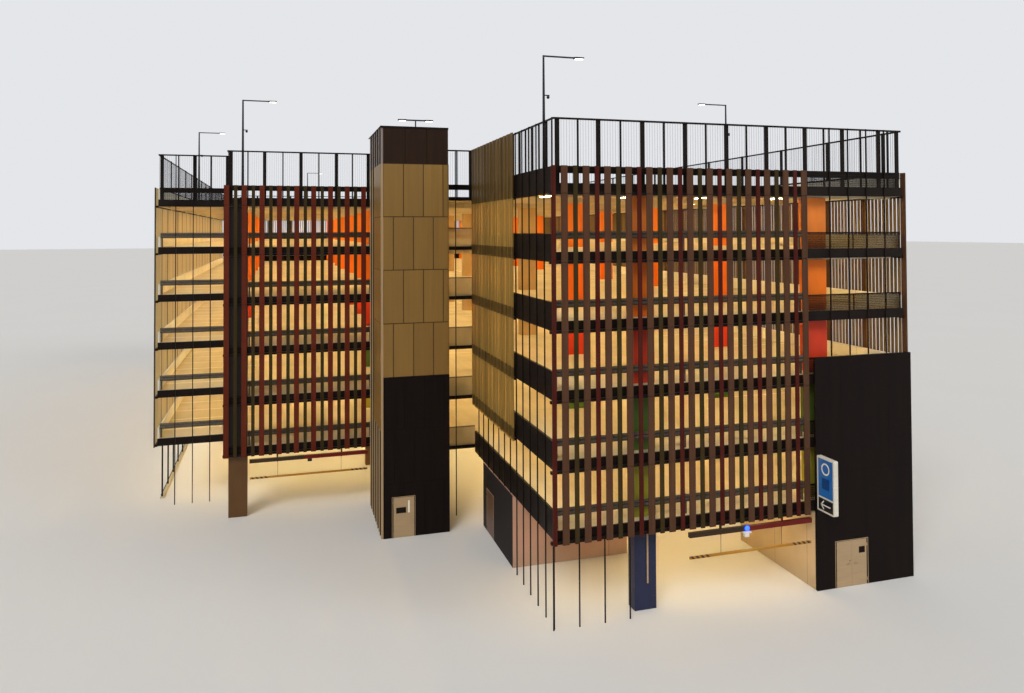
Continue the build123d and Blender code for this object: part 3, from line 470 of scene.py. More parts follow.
def striped_enamel(name, node):
    """Enamel of a height bar: amber, with slanting dark stripes near both ends, and dark wires above."""
    low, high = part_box(node)
    half, stripe_pitch, striped_end = (high.x - low.x) / 2, 0.12, 0.5
    material, tree, shader, place = start_material(name, 0.4)
    across, height = axis_value(tree, place, "X"), axis_value(tree, place, "Z")
    stripes = joint_lines(tree, maths(tree, "ADD", across, height), stripe_pitch, 0.0, stripe_pitch / 2)
    marks = cloud(tree, stretched(tree, place, (2.0, 8.0, 8.0)), 1.0)
    amber = shades(tree, marks, to_linear("#a87616"), 0.85, 1.0)
    from_middle = maths(tree, "PINGPONG", maths(tree, "SUBTRACT", across, (low.x + high.x) / 2), half)
    ends = maths(tree, "GREATER_THAN", from_middle, half - striped_end)
    dark = maths(tree, "MAXIMUM", maths(tree, "MULTIPLY", stripes, ends),
                 maths(tree, "GREATER_THAN", height, low.z + BAR_HEIGHT))
    tree.links.new(mix(tree, dark, amber, opaque(to_linear("#1b1712"))), shader.inputs["Base Color"])
    return material


def glowing(name, colour, strength):
    """A lit lens: an opal cover that gives its own light."""
    material, _, shader, _ = start_material(name, 0.5)
    shader.inputs["Base Color"].default_value = opaque(colour)
    shader.inputs["Emission Color"].default_value = opaque(colour)
    shader.inputs["Emission Strength"].default_value = strength
    return material


def studio_paper(name, hex_colour):
    """The stage's paper: plain pale and matt."""
    material, tree, shader, place = start_material(name, 0.9, specular=0.1)
    tree.links.new(shades(tree, cloud(tree, place, 6.0), to_linear(hex_colour), 0.985, 1.0),
                   shader.inputs["Base Color"])
    return material


def add_block(mesh, low, high):
    """Adds a box between two corners and returns all of its geometry."""
    low, high = Vector(low), Vector(high)
    verts = bmesh.ops.create_cube(mesh, size=1.0)["verts"]
    bmesh.ops.scale(mesh, vec=high - low, verts=verts)
    bmesh.ops.translate(mesh, vec=(low + high) / 2, verts=verts)
    return geometry_of(verts)


def rounded_block(mesh, low, high, radius, segments=3):
    """Adds a box with rounded edges."""
    edges = only(bmesh.types.BMEdge, add_block(mesh, low, high))
    bmesh.ops.bevel(mesh, geom=edges, offset=radius, segments=segments, profile=0.5, material=-1,
                    affect="EDGES")


def only(kind, geometry):
    """The parts of one kind, such as vertices, out of mixed geometry."""
    return [part for part in geometry if isinstance(part, kind)]


def geometry_of(verts):
    """The vertices given, with the edges and faces between them."""
    edges = {edge for vert in verts for edge in vert.link_edges}
    faces = {face for vert in verts for face in vert.link_faces}
    return list(verts) + list(edges) + list(faces)


def repeat(mesh, geometry, step, copies):
    """Copies geometry a number of times, each one step further on."""
    if copies > 0:
        bmesh.ops.spin(mesh, geom=geometry, cent=(0, 0, 0), axis=(0, 0, 1), dvec=step, angle=0.0,
                       steps=copies, use_duplicate=True)


def copies_between(start, stop, pitch):
    """How many copies after the first fit between two places."""
    rounding = 0.001
    return max(0, math.floor((stop - start) / pitch + rounding))


def extent(points, axis):
    """The least and the greatest coordinate of points along an axis."""
    values = [point[axis] for point in points]
    return min(values), max(values)


def finish_piece(name, mesh, materials, body="building"):
    """Makes the bmesh an object of its own that rides on a body."""
    data = bpy.data.meshes.new(name)
    mesh.to_mesh(data)
    mesh.free()
    for material in materials:
        data.materials.append(material)
    piece = bpy.data.objects.new(name, data)
    bpy.context.scene.collection.objects.link(piece)
    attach(piece, body)
    return piece


def dress(node, *materials):
    """Puts materials on a node of the frame."""
    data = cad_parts[node].data
    data.materials.clear()
    for material in materials:
        data.materials.append(material)


def named_material(name):
    """A material that the finishes operator has made."""
    return bpy.data.materials[name]


class CARPARK_OT_finishes(bpy.types.Operator):
    """Make every material and put them on the pieces of the frame"""
    bl_idname = "carpark.finishes"
    bl_label = "Finishes"

    def execute(self, context):
        finishes = context.scene.car_park_finishes
        concrete = trowelled_concrete(finishes)
        for node in ("parking_decks", "roof_deck", "ground_kerb"):
            dress(node, concrete)
        paints = {"level_1_columns": "#a39a2c", "level_2_columns": "#4d6a24", "level_3_columns": "#cf3a18",
                  "level_4_columns": "#ea720e", "level_5_columns": "#f0842c"}
        # dark columns stand at the box's left corner, and bare ones behind the near block's left face
        front_left = (LEFT_X, FRONT_Y)
        bare_start, bare_reach = FIRST_ROW_Y + 1.5 * ROW_SPACING, 2.5
        others = [("#24170f", front_left, (BOX_LEFT_X + 0.65, BAY_Y)),
                  ("#b99a6c", (NEAR_LEFT_X, bare_start), (NEAR_LEFT_X + bare_reach, REAR_Y))]
        for node, hex_colour in paints.items():
            dress(node, column_enamel(node + "_enamel", hex_colour, others))
        dress("ground_columns", column_enamel("ground_columns_enamel", "#20243f",
                                              [("#5e3f1e", front_left, (NEAR_LEFT_X, REAR_Y))]))
        black = powder_coat("black_powder_coat", finishes.black_steel, finishes)
        for node in ("spandrel_bands", "deck_edges", "screen_rails", "facade_rods", "roof_fence_posts",
                     "roof_fence_rails", "mesh_barriers", "ground_fence"):
            dress(node, black)
        brown = powder_coat("brown_powder_coat", finishes.brown, finishes)
        for node in ("front_wide_fins", "right_side_fins", "rear_fins"):
            dress(node, brown)
        # the near block's narrow fins take turns, red first, and a turn ends midway between two of them
        first_turn = NEAR_LEFT_X + FIRST_NARROW_FIN - NARROW_FIN_PITCH / 2
        dress("front_narrow_fins", powder_coat("red_and_olive_powder_coat", to_linear("#45130b"), finishes,
                                               finishes.olive, first_turn, NARROW_FIN_PITCH))
        dress("box_wide_fins", powder_coat("deep_red_powder_coat", finishes.red, finishes))
        olive = powder_coat("olive_powder_coat", finishes.olive, finishes)
        for node in ("box_narrow_fins", "left_side_fins"):
            dress(node, olive)
        dress("bronze_screen", screen_sheet(finishes))
        dress("tower_panels", tower_sheet(finishes))
        dress("tower_ribs", rib_coat(finishes))
        # the cap's joints are the gaps between its own panels, so those of its pattern are set far apart
        dress("tower_cap", clad_panels("cap_panels", finishes.cap, finishes, 5.0, 3.0, 100.0))
        dress("tower_walls", wall_panels("tower_backing", finishes.cap, finishes, 1.2))
        dress("tower_base_cladding", clad_panels("base_panels", finishes.black_steel, finishes, PANEL_WIDTH,
                                                 PANEL_HEIGHT, TOWER_LOW.x + TOWER_LOW.y))
        dress("black_wall", clad_panels("black_wall_panels", finishes.black_steel, finishes, 1.3, 2.57,
                                        RIGHT_X + FRONT_Y))
        dress("side_upstands", wall_panels("white_wall_paint", to_linear("#e2dccb"), finishes, 4.0))
        corner, first_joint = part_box("plant_room_walls")[0], 0.29
        dress("plant_room_walls", wall_panels("beige_wall_paint", finishes.beige, finishes, 1.2,
                                              corner.x + corner.y + first_joint))
        dress("ground_room_walls", wall_panels("rose_wall_paint", to_linear("#b08a76"), finishes, 1.4,
                                               dark_side=True))
        door_paint = enamel("beige_door_enamel", finishes.door)
        for node in ("tower_door", "plant_door_left", "plant_door_right"):
            dress(node, door_paint)
        dress("room_door", enamel("brown_door_enamel", to_linear("#5b3a2a")))
        dress("recess_glass", frosted_glass())
        dress("guard_rails", galvanised_steel())
        dress("roof_lamps", powder_coat("lamp_powder_coat", to_linear("#2b2c2e"), finishes))
        dress("blade_sign", enamel("sign_case_enamel", to_linear("#d9d2c0")))
        dress("near_height_bar", striped_enamel("near_bar_enamel", "near_height_bar"))
        dress("left_height_bar", striped_enamel("left_bar_enamel", "left_height_bar"))
        dress("clearance_beams", beam_coat())

        # finishes that only the pieces made here wear
        powder_coat("champagne_powder_coat", finishes.champagne, finishes)
        powder_coat("bronze_brown_powder_coat", to_linear("#6f5936"), finishes)
        glowing("ceiling_lens", finishes.lamp_light, context.scene.car_park_sizes.lamp_strength)
        glowing("mast_lens", to_linear("#fff6e4"), 6.0)
        glowing("beacon_lens", to_linear("#2a4dff"), 3.5)
        enamel("line_marking_paint", to_linear("#e9e4d4"), 0.6)
        enamel("sign_blue_enamel", to_linear("#1c66ad"), 0.3)
        enamel("sign_dark_blue_enamel", to_linear("#123f78"), 0.3)
        enamel("sign_black_enamel", to_linear("#15171a"), 0.3)
        return {"FINISHED"}


def fence_lines():
    """Runs of the roof fence: first corner, last corner, foot, and the way inwards."""
    inset = FACING_INSET
    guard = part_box("side_upstands")[1].z
    return [
        ((NEAR_LEFT_X + inset, FRONT_Y + inset), (RIGHT_X - inset, FRONT_Y + inset), ROOF_TOP, (0, 1)),
        ((TOWER_HIGH.x, RECESS_Y + inset), (NEAR_LEFT_X + inset, RECESS_Y + inset), ROOF_TOP, (0, 1)),
        ((BOX_LEFT_X + inset, BOX_Y + inset), (TOWER_LOW.x, BOX_Y + inset), ROOF_TOP, (0, 1)),
        ((LEFT_X + inset, BAY_Y + inset), (BOX_LEFT_X + inset, BAY_Y + inset), ROOF_TOP, (0, 1)),
        ((LEFT_X + inset, REAR_Y - inset), (RIGHT_X - inset, REAR_Y - inset), ROOF_TOP, (0, -1)),
        ((NEAR_LEFT_X + inset, FRONT_Y + inset), (NEAR_LEFT_X + inset, RECESS_Y + inset), SCREEN_TOP, (1, 0)),
        ((BOX_LEFT_X + inset, BOX_Y + inset), (BOX_LEFT_X + inset, BAY_Y + inset), ROOF_TOP, (1, 0)),
        ((LEFT_X + inset, BAY_Y + inset), (LEFT_X + inset, REAR_Y - inset), guard, (1, 0)),
        ((RIGHT_X - inset, FRONT_Y + inset), (RIGHT_X - inset, REAR_Y - inset), guard, (-1, 0)),
    ]


class CARPARK_OT_fence_wires(bpy.types.Operator):
    """Fill the roof fence with close upright wires, and close the gaps of its low rails with a strip"""
    bl_idname = "carpark.fence_wires"
    bl_label = "Fence Wires"

    def execute(self, context):
        sizes = context.scene.car_park_sizes
        rail_depth, rail_height = 0.02, 0.04
        strip_height, strip, gap = 0.15, 0.002, 0.001
        mesh = bmesh.new()
        for start, stop, foot, inwards in fence_lines():
            along = (Vector(stop) - Vector(start)).normalized()
            across = Vector(inwards)
            near = Vector(start) + along * sizes.fence_wire_pitch + across * rail_depth
            far = near + (along + across) * sizes.wire
            low = (min(near.x, far.x), min(near.y, far.y), foot)
            high = (max(near.x, far.x), max(near.y, far.y), FENCE_TOP - rail_height)
            wire = add_block(mesh, low, high)
            length = (Vector(stop) - Vector(start)).length - 2 * sizes.fence_wire_pitch
            step = along.to_3d() * sizes.fence_wire_pitch
            repeat(mesh, wire, step, copies_between(0, length, sizes.fence_wire_pitch))
            end = near + along * length + across * strip
            add_block(mesh, (min(near.x, end.x), min(near.y, end.y), SCREEN_TOP - strip_height),
                      (max(near.x, end.x), max(near.y, end.y), SCREEN_TOP - gap))
        finish_piece("fence_wires", mesh, [named_material("black_powder_coat")])
        return {"FINISHED"}


class CARPARK_OT_barrier_wires(bpy.types.Operator):
    """Fill the barriers of the open bays, and the foot of the fence above them, with welded wires"""
    bl_idname = "carpark.barrier_wires"
    bl_label = "Barrier Wires"

    def execute(self, context):
        sizes = context.scene.car_park_sizes
        low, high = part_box("mesh_barriers")
        fence_back, fence_foot = FACING_INSET + 0.026, SCREEN_TOP - ROOF_TOP
        fields = [(low.x, high.x, high.y, top, BARRIER_HEIGHT) for top in DECK_TOPS[:-1]]
        fields += [(low.x, high.x, FRONT_Y + fence_back, ROOF_TOP, fence_foot),
                   (LEFT_X + fence_back, BOX_LEFT_X + FACING_INSET, BAY_Y + fence_back, ROOF_TOP, fence_foot)]
        mesh = bmesh.new()
        wire, pitch = sizes.mesh_wire, sizes.mesh_wire_pitch
        for left, right, back, foot, height in fields:
            upright = add_block(mesh, (left + pitch, back, foot),
                                (left + pitch + wire, back + wire, foot + height))
            repeat(mesh, upright, (pitch, 0, 0), copies_between(left + pitch, right, pitch) - 1)
            level = add_block(mesh, (left, back + wire, foot + 2 * pitch),
                              (right, back + 2 * wire, foot + 2 * pitch + wire))
            repeat(mesh, level, (0, 0, 2 * pitch), copies_between(2 * pitch, height, 2 * pitch) - 1)
        finish_piece("barrier_wires", mesh, [named_material("black_powder_coat")])
        return {"FINISHED"}


class CARPARK_OT_bronze_blades(bpy.types.Operator):
    """Stand thin bronze blades between the fins of the bronze screen"""
    bl_idname = "carpark.bronze_blades"
    bl_label = "Bronze Blades"

    def execute(self, context):
        sizes = context.scene.car_park_sizes
        low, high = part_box("bronze_screen")
        blade, depth = 0.012, 0.018
        mesh = bmesh.new()
        upright = add_block(mesh, (high.x - depth, low.y + blade, low.z),
                            (high.x, low.y + 2 * blade, high.z))
        repeat(mesh, upright, (0, sizes.blade_pitch, 0),
               copies_between(low.y + 2 * blade, high.y, sizes.blade_pitch))
        finish_piece("bronze_blades", mesh, [named_material("bronze_screen_sheet")])
        return {"FINISHED"}


class CARPARK_OT_side_blades(bpy.types.Operator):
    """Stand sheet blades between the fins of the sides and the rear: brown ones at the right, else pale"""
    bl_idname = "carpark.side_blades"
    bl_label = "Side Blades"

    def execute(self, context):
        pitch = context.scene.car_park_sizes.side_blade_pitch
        pale, dark = bmesh.new(), bmesh.new()
        # a run along X has axis 0 and a run along Y has axis 1
        runs = ((pale, "left_side_fins", 1, 0.03), (dark, "right_side_fins", 1, 0.07),
                (pale, "rear_fins", 0, 0.06))
        for mesh, node, axis, width in runs:
            low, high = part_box(node)
            # the blades are a little thinner than the fins, so that no two faces lie in one plane
            start, stop = low + Vector((0.004, 0.004, 0.004)), high - Vector((0.0005, 0.0005, 0.004))
            start[axis] = low[axis] + pitch / 2
            stop[axis] = start[axis] + width
            step = [0, 0, 0]
            step[axis] = pitch
            copies = copies_between(start[axis], high[axis] - pitch, pitch)
            repeat(mesh, add_block(mesh, start, stop), step, copies)
        finish_piece("pale_side_blades", pale, [named_material("champagne_powder_coat")])
        finish_piece("dark_side_blades", dark, [named_material("bronze_brown_powder_coat")])
        return {"FINISHED"}


class CARPARK_OT_ceiling_lights(bpy.types.Operator):
    """Hang rows of batten lights under every deck, between the cross beams"""
    bl_idname = "carpark.ceiling_lights"
    bl_label = "Ceiling Lights"

    def execute(self, context):
        sizes = context.scene.car_park_sizes
        slab, case_height, lens_height, inset = 0.09, 0.03, 0.012, 0.01
        half_width, half_length = sizes.fitting_width / 2, sizes.fitting_length / 2
        rows = [FIRST_ROW_Y + ROW_SPACING / 4 + i * ROW_SPACING / 2 for i in range(18)]
        lines = [RIGHT_COLUMNS_X + COLUMN_SPACING / 4 - i * COLUMN_SPACING / 2 for i in range(8)]
        # only the near block reaches the front rows
        near_lines = [x for x in lines if x > NEAR_LEFT_X + 0.5]
        cases, lenses = bmesh.new(), bmesh.new()
        for top in DECK_TOPS:
            ceiling = top - slab
            for y in rows:
                for x in (near_lines if y < BAY_Y + 0.5 else lines):
                    low = (x - half_width, y - half_length, ceiling - case_height)
                    add_block(cases, low, (x + half_width, y + half_length, ceiling))
                    add_block(lenses, (low[0] + inset, low[1] + inset, low[2] - lens_height),
                              (x + half_width - inset, y + half_length - inset, low[2]))
        finish_piece("light_cases", cases, [named_material("line_marking_paint")])
        finish_piece("light_lenses", lenses, [named_material("ceiling_lens")])
        return {"FINISHED"}


class CARPARK_OT_bay_lines(bpy.types.Operator):
    """Paint the lines of the parking bays on every deck"""
    bl_idname = "carpark.bay_lines"
    bl_label = "Bay Lines"

    def execute(self, context):
        sizes = context.scene.car_park_sizes
        paint, aisle = 0.002, 3.2
        right_edge, left_edge = RIGHT_X - SLAB_INSET, LEFT_X + SLAB_INSET
        middle = NEAR_LEFT_X + 2.6
        near_start, left_start = FRONT_Y + SLAB_INSET + 4.2, BAY_Y + SLAB_INSET + 1.0
        middle_start = left_start + aisle
        stop = REAR_Y - SLAB_INSET - aisle
        runs = [(right_edge - sizes.bay_length, right_edge, near_start),
                (middle - sizes.bay_length, middle + sizes.bay_length, middle_start),
                (left_edge, left_edge + sizes.bay_length, left_start)]
        mesh = bmesh.new()
        for top in DECK_TOPS:
            for x_low, x_high, start in runs:
                line = add_block(mesh, (x_low, start, top), (x_high, start + sizes.line_width, top + paint))
                repeat(mesh, line, (0, sizes.bay_width, 0), copies_between(start, stop, sizes.bay_width))
            add_block(mesh, (middle - sizes.line_width / 2, middle_start, top),
                      (middle + sizes.line_width / 2, stop, top + 2 * paint))
        finish_piece("bay_lines", mesh, [named_material("line_marking_paint")])
        return {"FINISHED"}


class CARPARK_OT_balustrade_rails(bpy.types.Operator):
    """Cap the glass balustrades of the recess with a rail"""
    bl_idname = "carpark.balustrade_rails"
    bl_label = "Balustrade Rails"

    def execute(self, context):
        low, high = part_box("recess_glass")
        glass_height, rail, overhang = high.z - DECK_TOPS[4], 0.03, 0.005
        mesh = bmesh.new()
        for top in DECK_TOPS[:-1]:
            z = top + glass_height
            add_block(mesh, (low.x, low.y - overhang, z), (high.x, high.y + overhang, z + rail))
        finish_piece("balustrade_rails", mesh, [named_material("galvanised_steel")])
        return {"FINISHED"}


class CARPARK_OT_tower_trim(bpy.types.Operator):
    """Fold a coping over the tower's cap and lay a flashing between the panels and the base"""
    bl_idname = "carpark.tower_trim"
    bl_label = "Tower Trim"

    def execute(self, context):
        low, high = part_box("tower_cap")
        lip, fold, flashing, sheet = 0.01, 0.05, 0.02, 0.004
        mesh = bmesh.new()
        add_block(mesh, (low.x - lip, low.y - lip, high.z), (high.x + lip, high.y + lip, high.z + sheet))
        add_block(mesh, (low.x - lip, low.y - lip, high.z - fold),
                  (high.x + lip, low.y - lip + sheet, high.z))
        low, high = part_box("tower_base_cladding")
        add_block(mesh, (low.x, low.y - sheet, high.z - flashing), (high.x, low.y, high.z))
        finish_piece("tower_flashings", mesh, [named_material("black_powder_coat")])
        return {"FINISHED"}


class CARPARK_OT_tower_side_panels(bpy.types.Operator):
    """Hang bronze panels on the ribs of the tower's left side, from above the ground floor to the cap"""
    bl_idname = "carpark.tower_side_panels"
    bl_label = "Tower Side Panels"

    def execute(self, context):
        low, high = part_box("tower_ribs")
        sheet, joint, foot, reach = 0.006, 0.01, PANEL_FOOT - PANEL_HEIGHT, 6 * RIB_PITCH
        rows = round((high.z - foot) / PANEL_HEIGHT)
        mesh = bmesh.new()
        panel = add_block(mesh, (low.x - sheet, low.y, foot + joint),
                          (low.x, low.y + reach, foot + PANEL_HEIGHT))
        repeat(mesh, panel, (0, 0, PANEL_HEIGHT), rows - 1)
        finish_piece("tower_side_panels", mesh, [named_material("bronze_tower_sheet")])
        return {"FINISHED"}


def door_frame(mesh, low, high, face, outwards):
    """Adds three thin strips around a leaf, on the wall's face and clear of the hinges."""
    clear_above, clear_beside, width, proud = 0.012, 0.017, 0.012, 0.004
    axis = 1 if outwards[1] else 0
    run = 1 - axis
    head = high.z + clear_above
    strips = [(low[run] - clear_beside - width, low[run] - clear_beside, 0.0, head + width),
              (high[run] + clear_beside, high[run] + clear_beside + width, 0.0, head + width),
              (low[run] - clear_beside, high[run] + clear_beside, head, head + width)]
    for first, last, foot, top in strips:
        strip_low, strip_high = [0, 0, foot], [0, 0, top]
        strip_low[run], strip_high[run] = first, last
        strip_low[axis], strip_high[axis] = sorted((face, face + outwards[axis] * proud))
        add_block(mesh, strip_low, strip_high)


def leaf_faces():
    """Each door leaf's outer face: lowest and highest corner of the flat leaf, its face and way outwards."""
    thickness = 0.025
    leaves = {}
    for node in ("tower_door", "plant_door_left", "plant_door_right"):
        low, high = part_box(node)
        leaves[node] = (low, high, high.y - thickness, (0, -1))
    low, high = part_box("room_door")
    leaves["room_door"] = (low, high, high.x - thickness, (-1, 0))
    return leaves


class CARPARK_OT_door_trim(bpy.types.Operator):
    """Frame the doorways, and give the leaves a lock, a vent, a pane and a plate"""
    bl_idname = "carpark.door_trim"
    bl_label = "Door Trim"

    def execute(self, context):
        leaves = leaf_faces()
        self.add_frames(leaves)
        self.add_vent(*leaves["plant_door_right"][1:3])
        self.add_lock(*leaves["plant_door_left"][:3])
        self.add_pane_and_plate(*leaves["tower_door"][:3])
        return {"FINISHED"}

    def add_frames(self, leaves):
        """A frame around each single leaf, and one around the pair."""
        frames = bmesh.new()
        for node in ("tower_door", "room_door"):
            door_frame(frames, *leaves[node])
        low, _, face, outwards = leaves["plant_door_left"]
        door_frame(frames, low, leaves["plant_door_right"][1], face, outwards)
        finish_piece("door_frames", frames, [named_material("beige_door_enamel")])

    def add_vent(self, high, face):
        """A plate with level slats near the top of the right leaf."""
        plate, slat, slat_pitch, slat_count, border = 0.003, 0.008, 0.021, 6, 0.01
        left, right, foot, top = high.x - 0.22, high.x - 0.06, high.z - 0.3, high.z - 0.16
        first_slat = foot + 0.008
        vent = bmesh.new()
        add_block(vent, (left, face - plate, foot), (right, face, top))
        blade = add_block(vent, (left + border, face - 2 * plate, first_slat),
                          (right - border, face - plate, first_slat + slat))
        repeat(vent, blade, (0, 0, slat_pitch), slat_count - 1)
        finish_piece("plant_door_vent", vent, [named_material("black_powder_coat")],
                     "plant_door_right")

    def add_lock(self, low, high, face):
        """A round lock on the left leaf, near the edge where the pair meets."""
        depth, from_edge, lock_height = 0.006, 0.05, 0.56
        lock = bmesh.new()
        place = (high.x - from_edge, face - depth / 2, low.z + lock_height)
        verts = bmesh.ops.create_cone(lock, cap_ends=True, segments=20, radius1=0.014, radius2=0.011,
                                      depth=depth)["verts"]
        bmesh.ops.rotate(lock, cent=(0, 0, 0), matrix=Matrix.Rotation(math.radians(90), 3, "X"), verts=verts)
        bmesh.ops.translate(lock, vec=place, verts=verts)
        finish_piece("plant_door_lock", lock, [named_material("galvanised_steel")],
                     "plant_door_left")

    def add_pane_and_plate(self, low, high, face):
        """A tall pane set into the tower's leaf, and a blank plate beside it."""
        glass, width, height, recess = 0.004, 0.065, 0.35, 0.01
        pane = bmesh.new()
        corner = Vector((high.x - 0.17, face + recess, low.z + 0.61))
        add_block(pane, corner, corner + Vector((width, glass, height)))
        finish_piece("tower_door_pane", pane, [named_material("line_marking_paint")],
                     "tower_door")
        thickness, width, height, rounding = 0.003, 0.26, 0.15, 0.0012
        plate = bmesh.new()
        corner = Vector((low.x + 0.08, face - thickness, low.z + 0.62))
        rounded_block(plate, corner, corner + Vector((width, thickness, height)), rounding, segments=2)
        finish_piece("tower_door_plate", plate, [named_material("black_powder_coat")],
                     "tower_door")


def flat_shape(mesh, place, thickness, radius, sides, turn=0.0, hole=0.0):
    """Adds a thin flat shape that faces along X, with a number of equal sides, or a ring of them."""
    ring = bmesh.ops.create_circle(mesh, cap_ends=not hole, segments=sides, radius=radius)["verts"]
    if hole:
        edges = list({edge for vert in ring for edge in vert.link_edges})
        inner = only(bmesh.types.BMVert, bmesh.ops.extrude_edge_only(mesh, edges=edges)["geom"])
        bmesh.ops.scale(mesh, vec=(hole / radius, hole / radius, 1), verts=inner)
        ring = ring + inner
    faces = list({face for vert in ring for face in vert.link_faces})
    raised = only(bmesh.types.BMVert, bmesh.ops.extrude_face_region(mesh, geom=faces)["geom"])
    bmesh.ops.translate(mesh, vec=(0, 0, thickness), verts=raised)
    shape = list(ring) + raised
    upright = Matrix.Rotation(math.radians(90), 3, "Y") @ Matrix.Rotation(math.radians(turn), 3, "Z")
    bmesh.ops.rotate(mesh, cent=(0, 0, 0), matrix=upright, verts=shape)
    bmesh.ops.translate(mesh, vec=place, verts=shape)


def arrow(mesh, place, size, thickness):
    """Adds a flat arrow that faces along X and points to the back: a shaft and two strokes."""
    stroke, barb_length = size * 0.09, size * 0.42
    add_block(mesh, Vector(place) - Vector((0, size / 2, stroke / 2)),
              Vector(place) + Vector((thickness, size / 2, stroke / 2)))
    tip = Vector(place) + Vector((0, size / 2, 0))
    for turn in (45, -45):
        barb = add_block(mesh, tip - Vector((0, barb_length, stroke / 2)),
                         tip + Vector((thickness, 0, stroke / 2)))
        bmesh.ops.rotate(mesh, cent=tip, matrix=Matrix.Rotation(math.radians(turn), 3, "X"),
                         verts=only(bmesh.types.BMVert, barb))


class CARPARK_OT_sign_faces(bpy.types.Operator):
    """Set enamel faces with plain marks into both sides of the blade sign"""
    bl_idname = "carpark.sign_faces"
    bl_label = "Sign Faces"

    def execute(self, context):
        low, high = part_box("blade_sign")
        border, recess, enamel_depth, mark_depth = 0.035, 0.006, 0.003, 0.002
        front, back, split = low.y + border, high.y - border, low.z + 0.31
        middle, ring_height, square_height = (low.y + high.y) / 2, high.z - 0.24, high.z - 0.56
        blue, black, marks, squares = bmesh.new(), bmesh.new(), bmesh.new(), bmesh.new()
        for side, x in ((-1, low.x), (1, high.x)):
            face = x - side * recess
            depths = sorted((face, face + side * enamel_depth))
            add_block(blue, (depths[0], front, split + border / 2), (depths[1], back, high.z - border))
            add_block(black, (depths[0], front, low.z + border), (depths[1], back, split - border / 2))
            mark_face = depths[1] if side > 0 else depths[0] - mark_depth
            arrow(marks, (mark_face, middle, (low.z + split) / 2), 0.3, mark_depth)
            flat_shape(marks, (mark_face, middle, ring_height), mark_depth, 0.13, 32, hole=0.1)
            flat_shape(squares, (mark_face, middle, square_height), mark_depth, 0.17, 4, turn=45.0)
        for mesh in (marks, squares):
            bmesh.ops.recalc_face_normals(mesh, faces=mesh.faces)
        finish_piece("sign_blue_faces", blue, [named_material("sign_blue_enamel")])
        finish_piece("sign_black_faces", black, [named_material("sign_black_enamel")])
        finish_piece("sign_marks", marks, [named_material("line_marking_paint")])
        finish_piece("sign_squares", squares, [named_material("sign_dark_blue_enamel")])
        return {"FINISHED"}


def loose_parts(node):
    """The corners of each separate solid of a node, read from a merged copy of its mesh."""
    mesh = bmesh.new()
    mesh.from_mesh(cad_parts[node].data)
    bmesh.ops.remove_doubles(mesh, verts=mesh.verts, dist=0.0001)
    parts, seen = [], set()
    for start in mesh.verts:
        if start in seen:
            continue
        group, waiting = {start}, [start]
        while waiting:
            vert = waiting.pop()
            for edge in vert.link_edges:
                other = edge.other_vert(vert)
                if other not in group:
                    group.add(other)
                    waiting.append(other)
        seen |= group
        parts.append([vert.co.copy() for vert in group])
    mesh.free()
    return parts


class CARPARK_OT_column_conduit(bpy.types.Operator):
    """Run a pale conduit down the front of the ground column nearest the way in"""
    bl_idname = "carpark.column_conduit"
    bl_label = "Column Conduit"

    def execute(self, context):
        # of the front row's columns, this is the one furthest left
        column = min(loose_parts("ground_columns"),
                     key=lambda points: (round(extent(points, 1)[0], 2), extent(points, 0)[0]))
        left, right = extent(column, 0)
        face, top = extent(column, 1)[0], extent(column, 2)[1]
        width, depth, foot, rounding = 0.035, 0.02, 0.55, 0.004
        start = left + (right - left) * 0.56
        mesh = bmesh.new()
        rounded_block(mesh, (start, face - depth, foot), (start + width, face, top), rounding)
        finish_piece("column_conduit", mesh, [named_material("beige_door_enamel")])
        return {"FINISHED"}


class CARPARK_OT_lamp_lenses(bpy.types.Operator):
    """Set lit lenses under the heads of the roof lamps and small cameras on the poles"""
    bl_idname = "carpark.lamp_lenses"
    bl_label = "Lamp Lenses"

    def execute(self, context):
        lenses, cameras = bmesh.new(), bmesh.new()
        head_length, lens_width, lens, drop = 0.22, 0.08, 0.006, 0.036
        inner_border, outer_border = 0.03, 0.02
        for points in loose_parts("roof_lamps"):
            (left, right), (foot, top) = extent(points, 0), extent(points, 2)
            front, back = extent([p for p in points if abs(p.z - top) < 0.001], 1)
            middle = (front + back) / 2
            pole = sum(extent([p for p in points if abs(p.z - foot) < 0.001], 0)) / 2
            way = 1 if right - pole > pole - left else -1
            ends = [right if way > 0 else left]
            on_tower = top < TOWER_HIGH.z + 1.5 and foot > ROOF_TOP + 1.0
            if on_tower:
                # the tower's lamp has a head at each end
                way, ends = 1, [left + head_length, right]
            else:
                self.add_camera(cameras, pole, middle, top)
            for end in ends:
                first, last = sorted((end - way * head_length, end))
                add_block(lenses, (first + inner_border, middle - lens_width / 2, top - drop - lens),
                          (last - outer_border, middle + lens_width / 2, top - drop))
        finish_piece("lamp_lenses", lenses, [named_material("mast_lens")])
        finish_piece("pole_cameras", cameras, [named_material("lamp_powder_coat")])
        return {"FINISHED"}

    def add_camera(self, mesh, x, y, top):
        """A round camera that hangs on a short arm from a pole."""
        bowl, reach, bowl_drop = 0.035, 0.1, 0.9
        arm_start, arm_stop, arm_width, arm_foot, arm_top = 0.02, 0.13, 0.024, 0.87, 0.85
        verts = bmesh.ops.create_uvsphere(mesh, u_segments=12, v_segments=8, radius=bowl)["verts"]
        bmesh.ops.translate(mesh, vec=(x + reach, y, top - bowl_drop), verts=verts)
        add_block(mesh, (x + arm_start, y - arm_width / 2, top - arm_foot),
                  (x + arm_stop, y + arm_width / 2, top - arm_top))


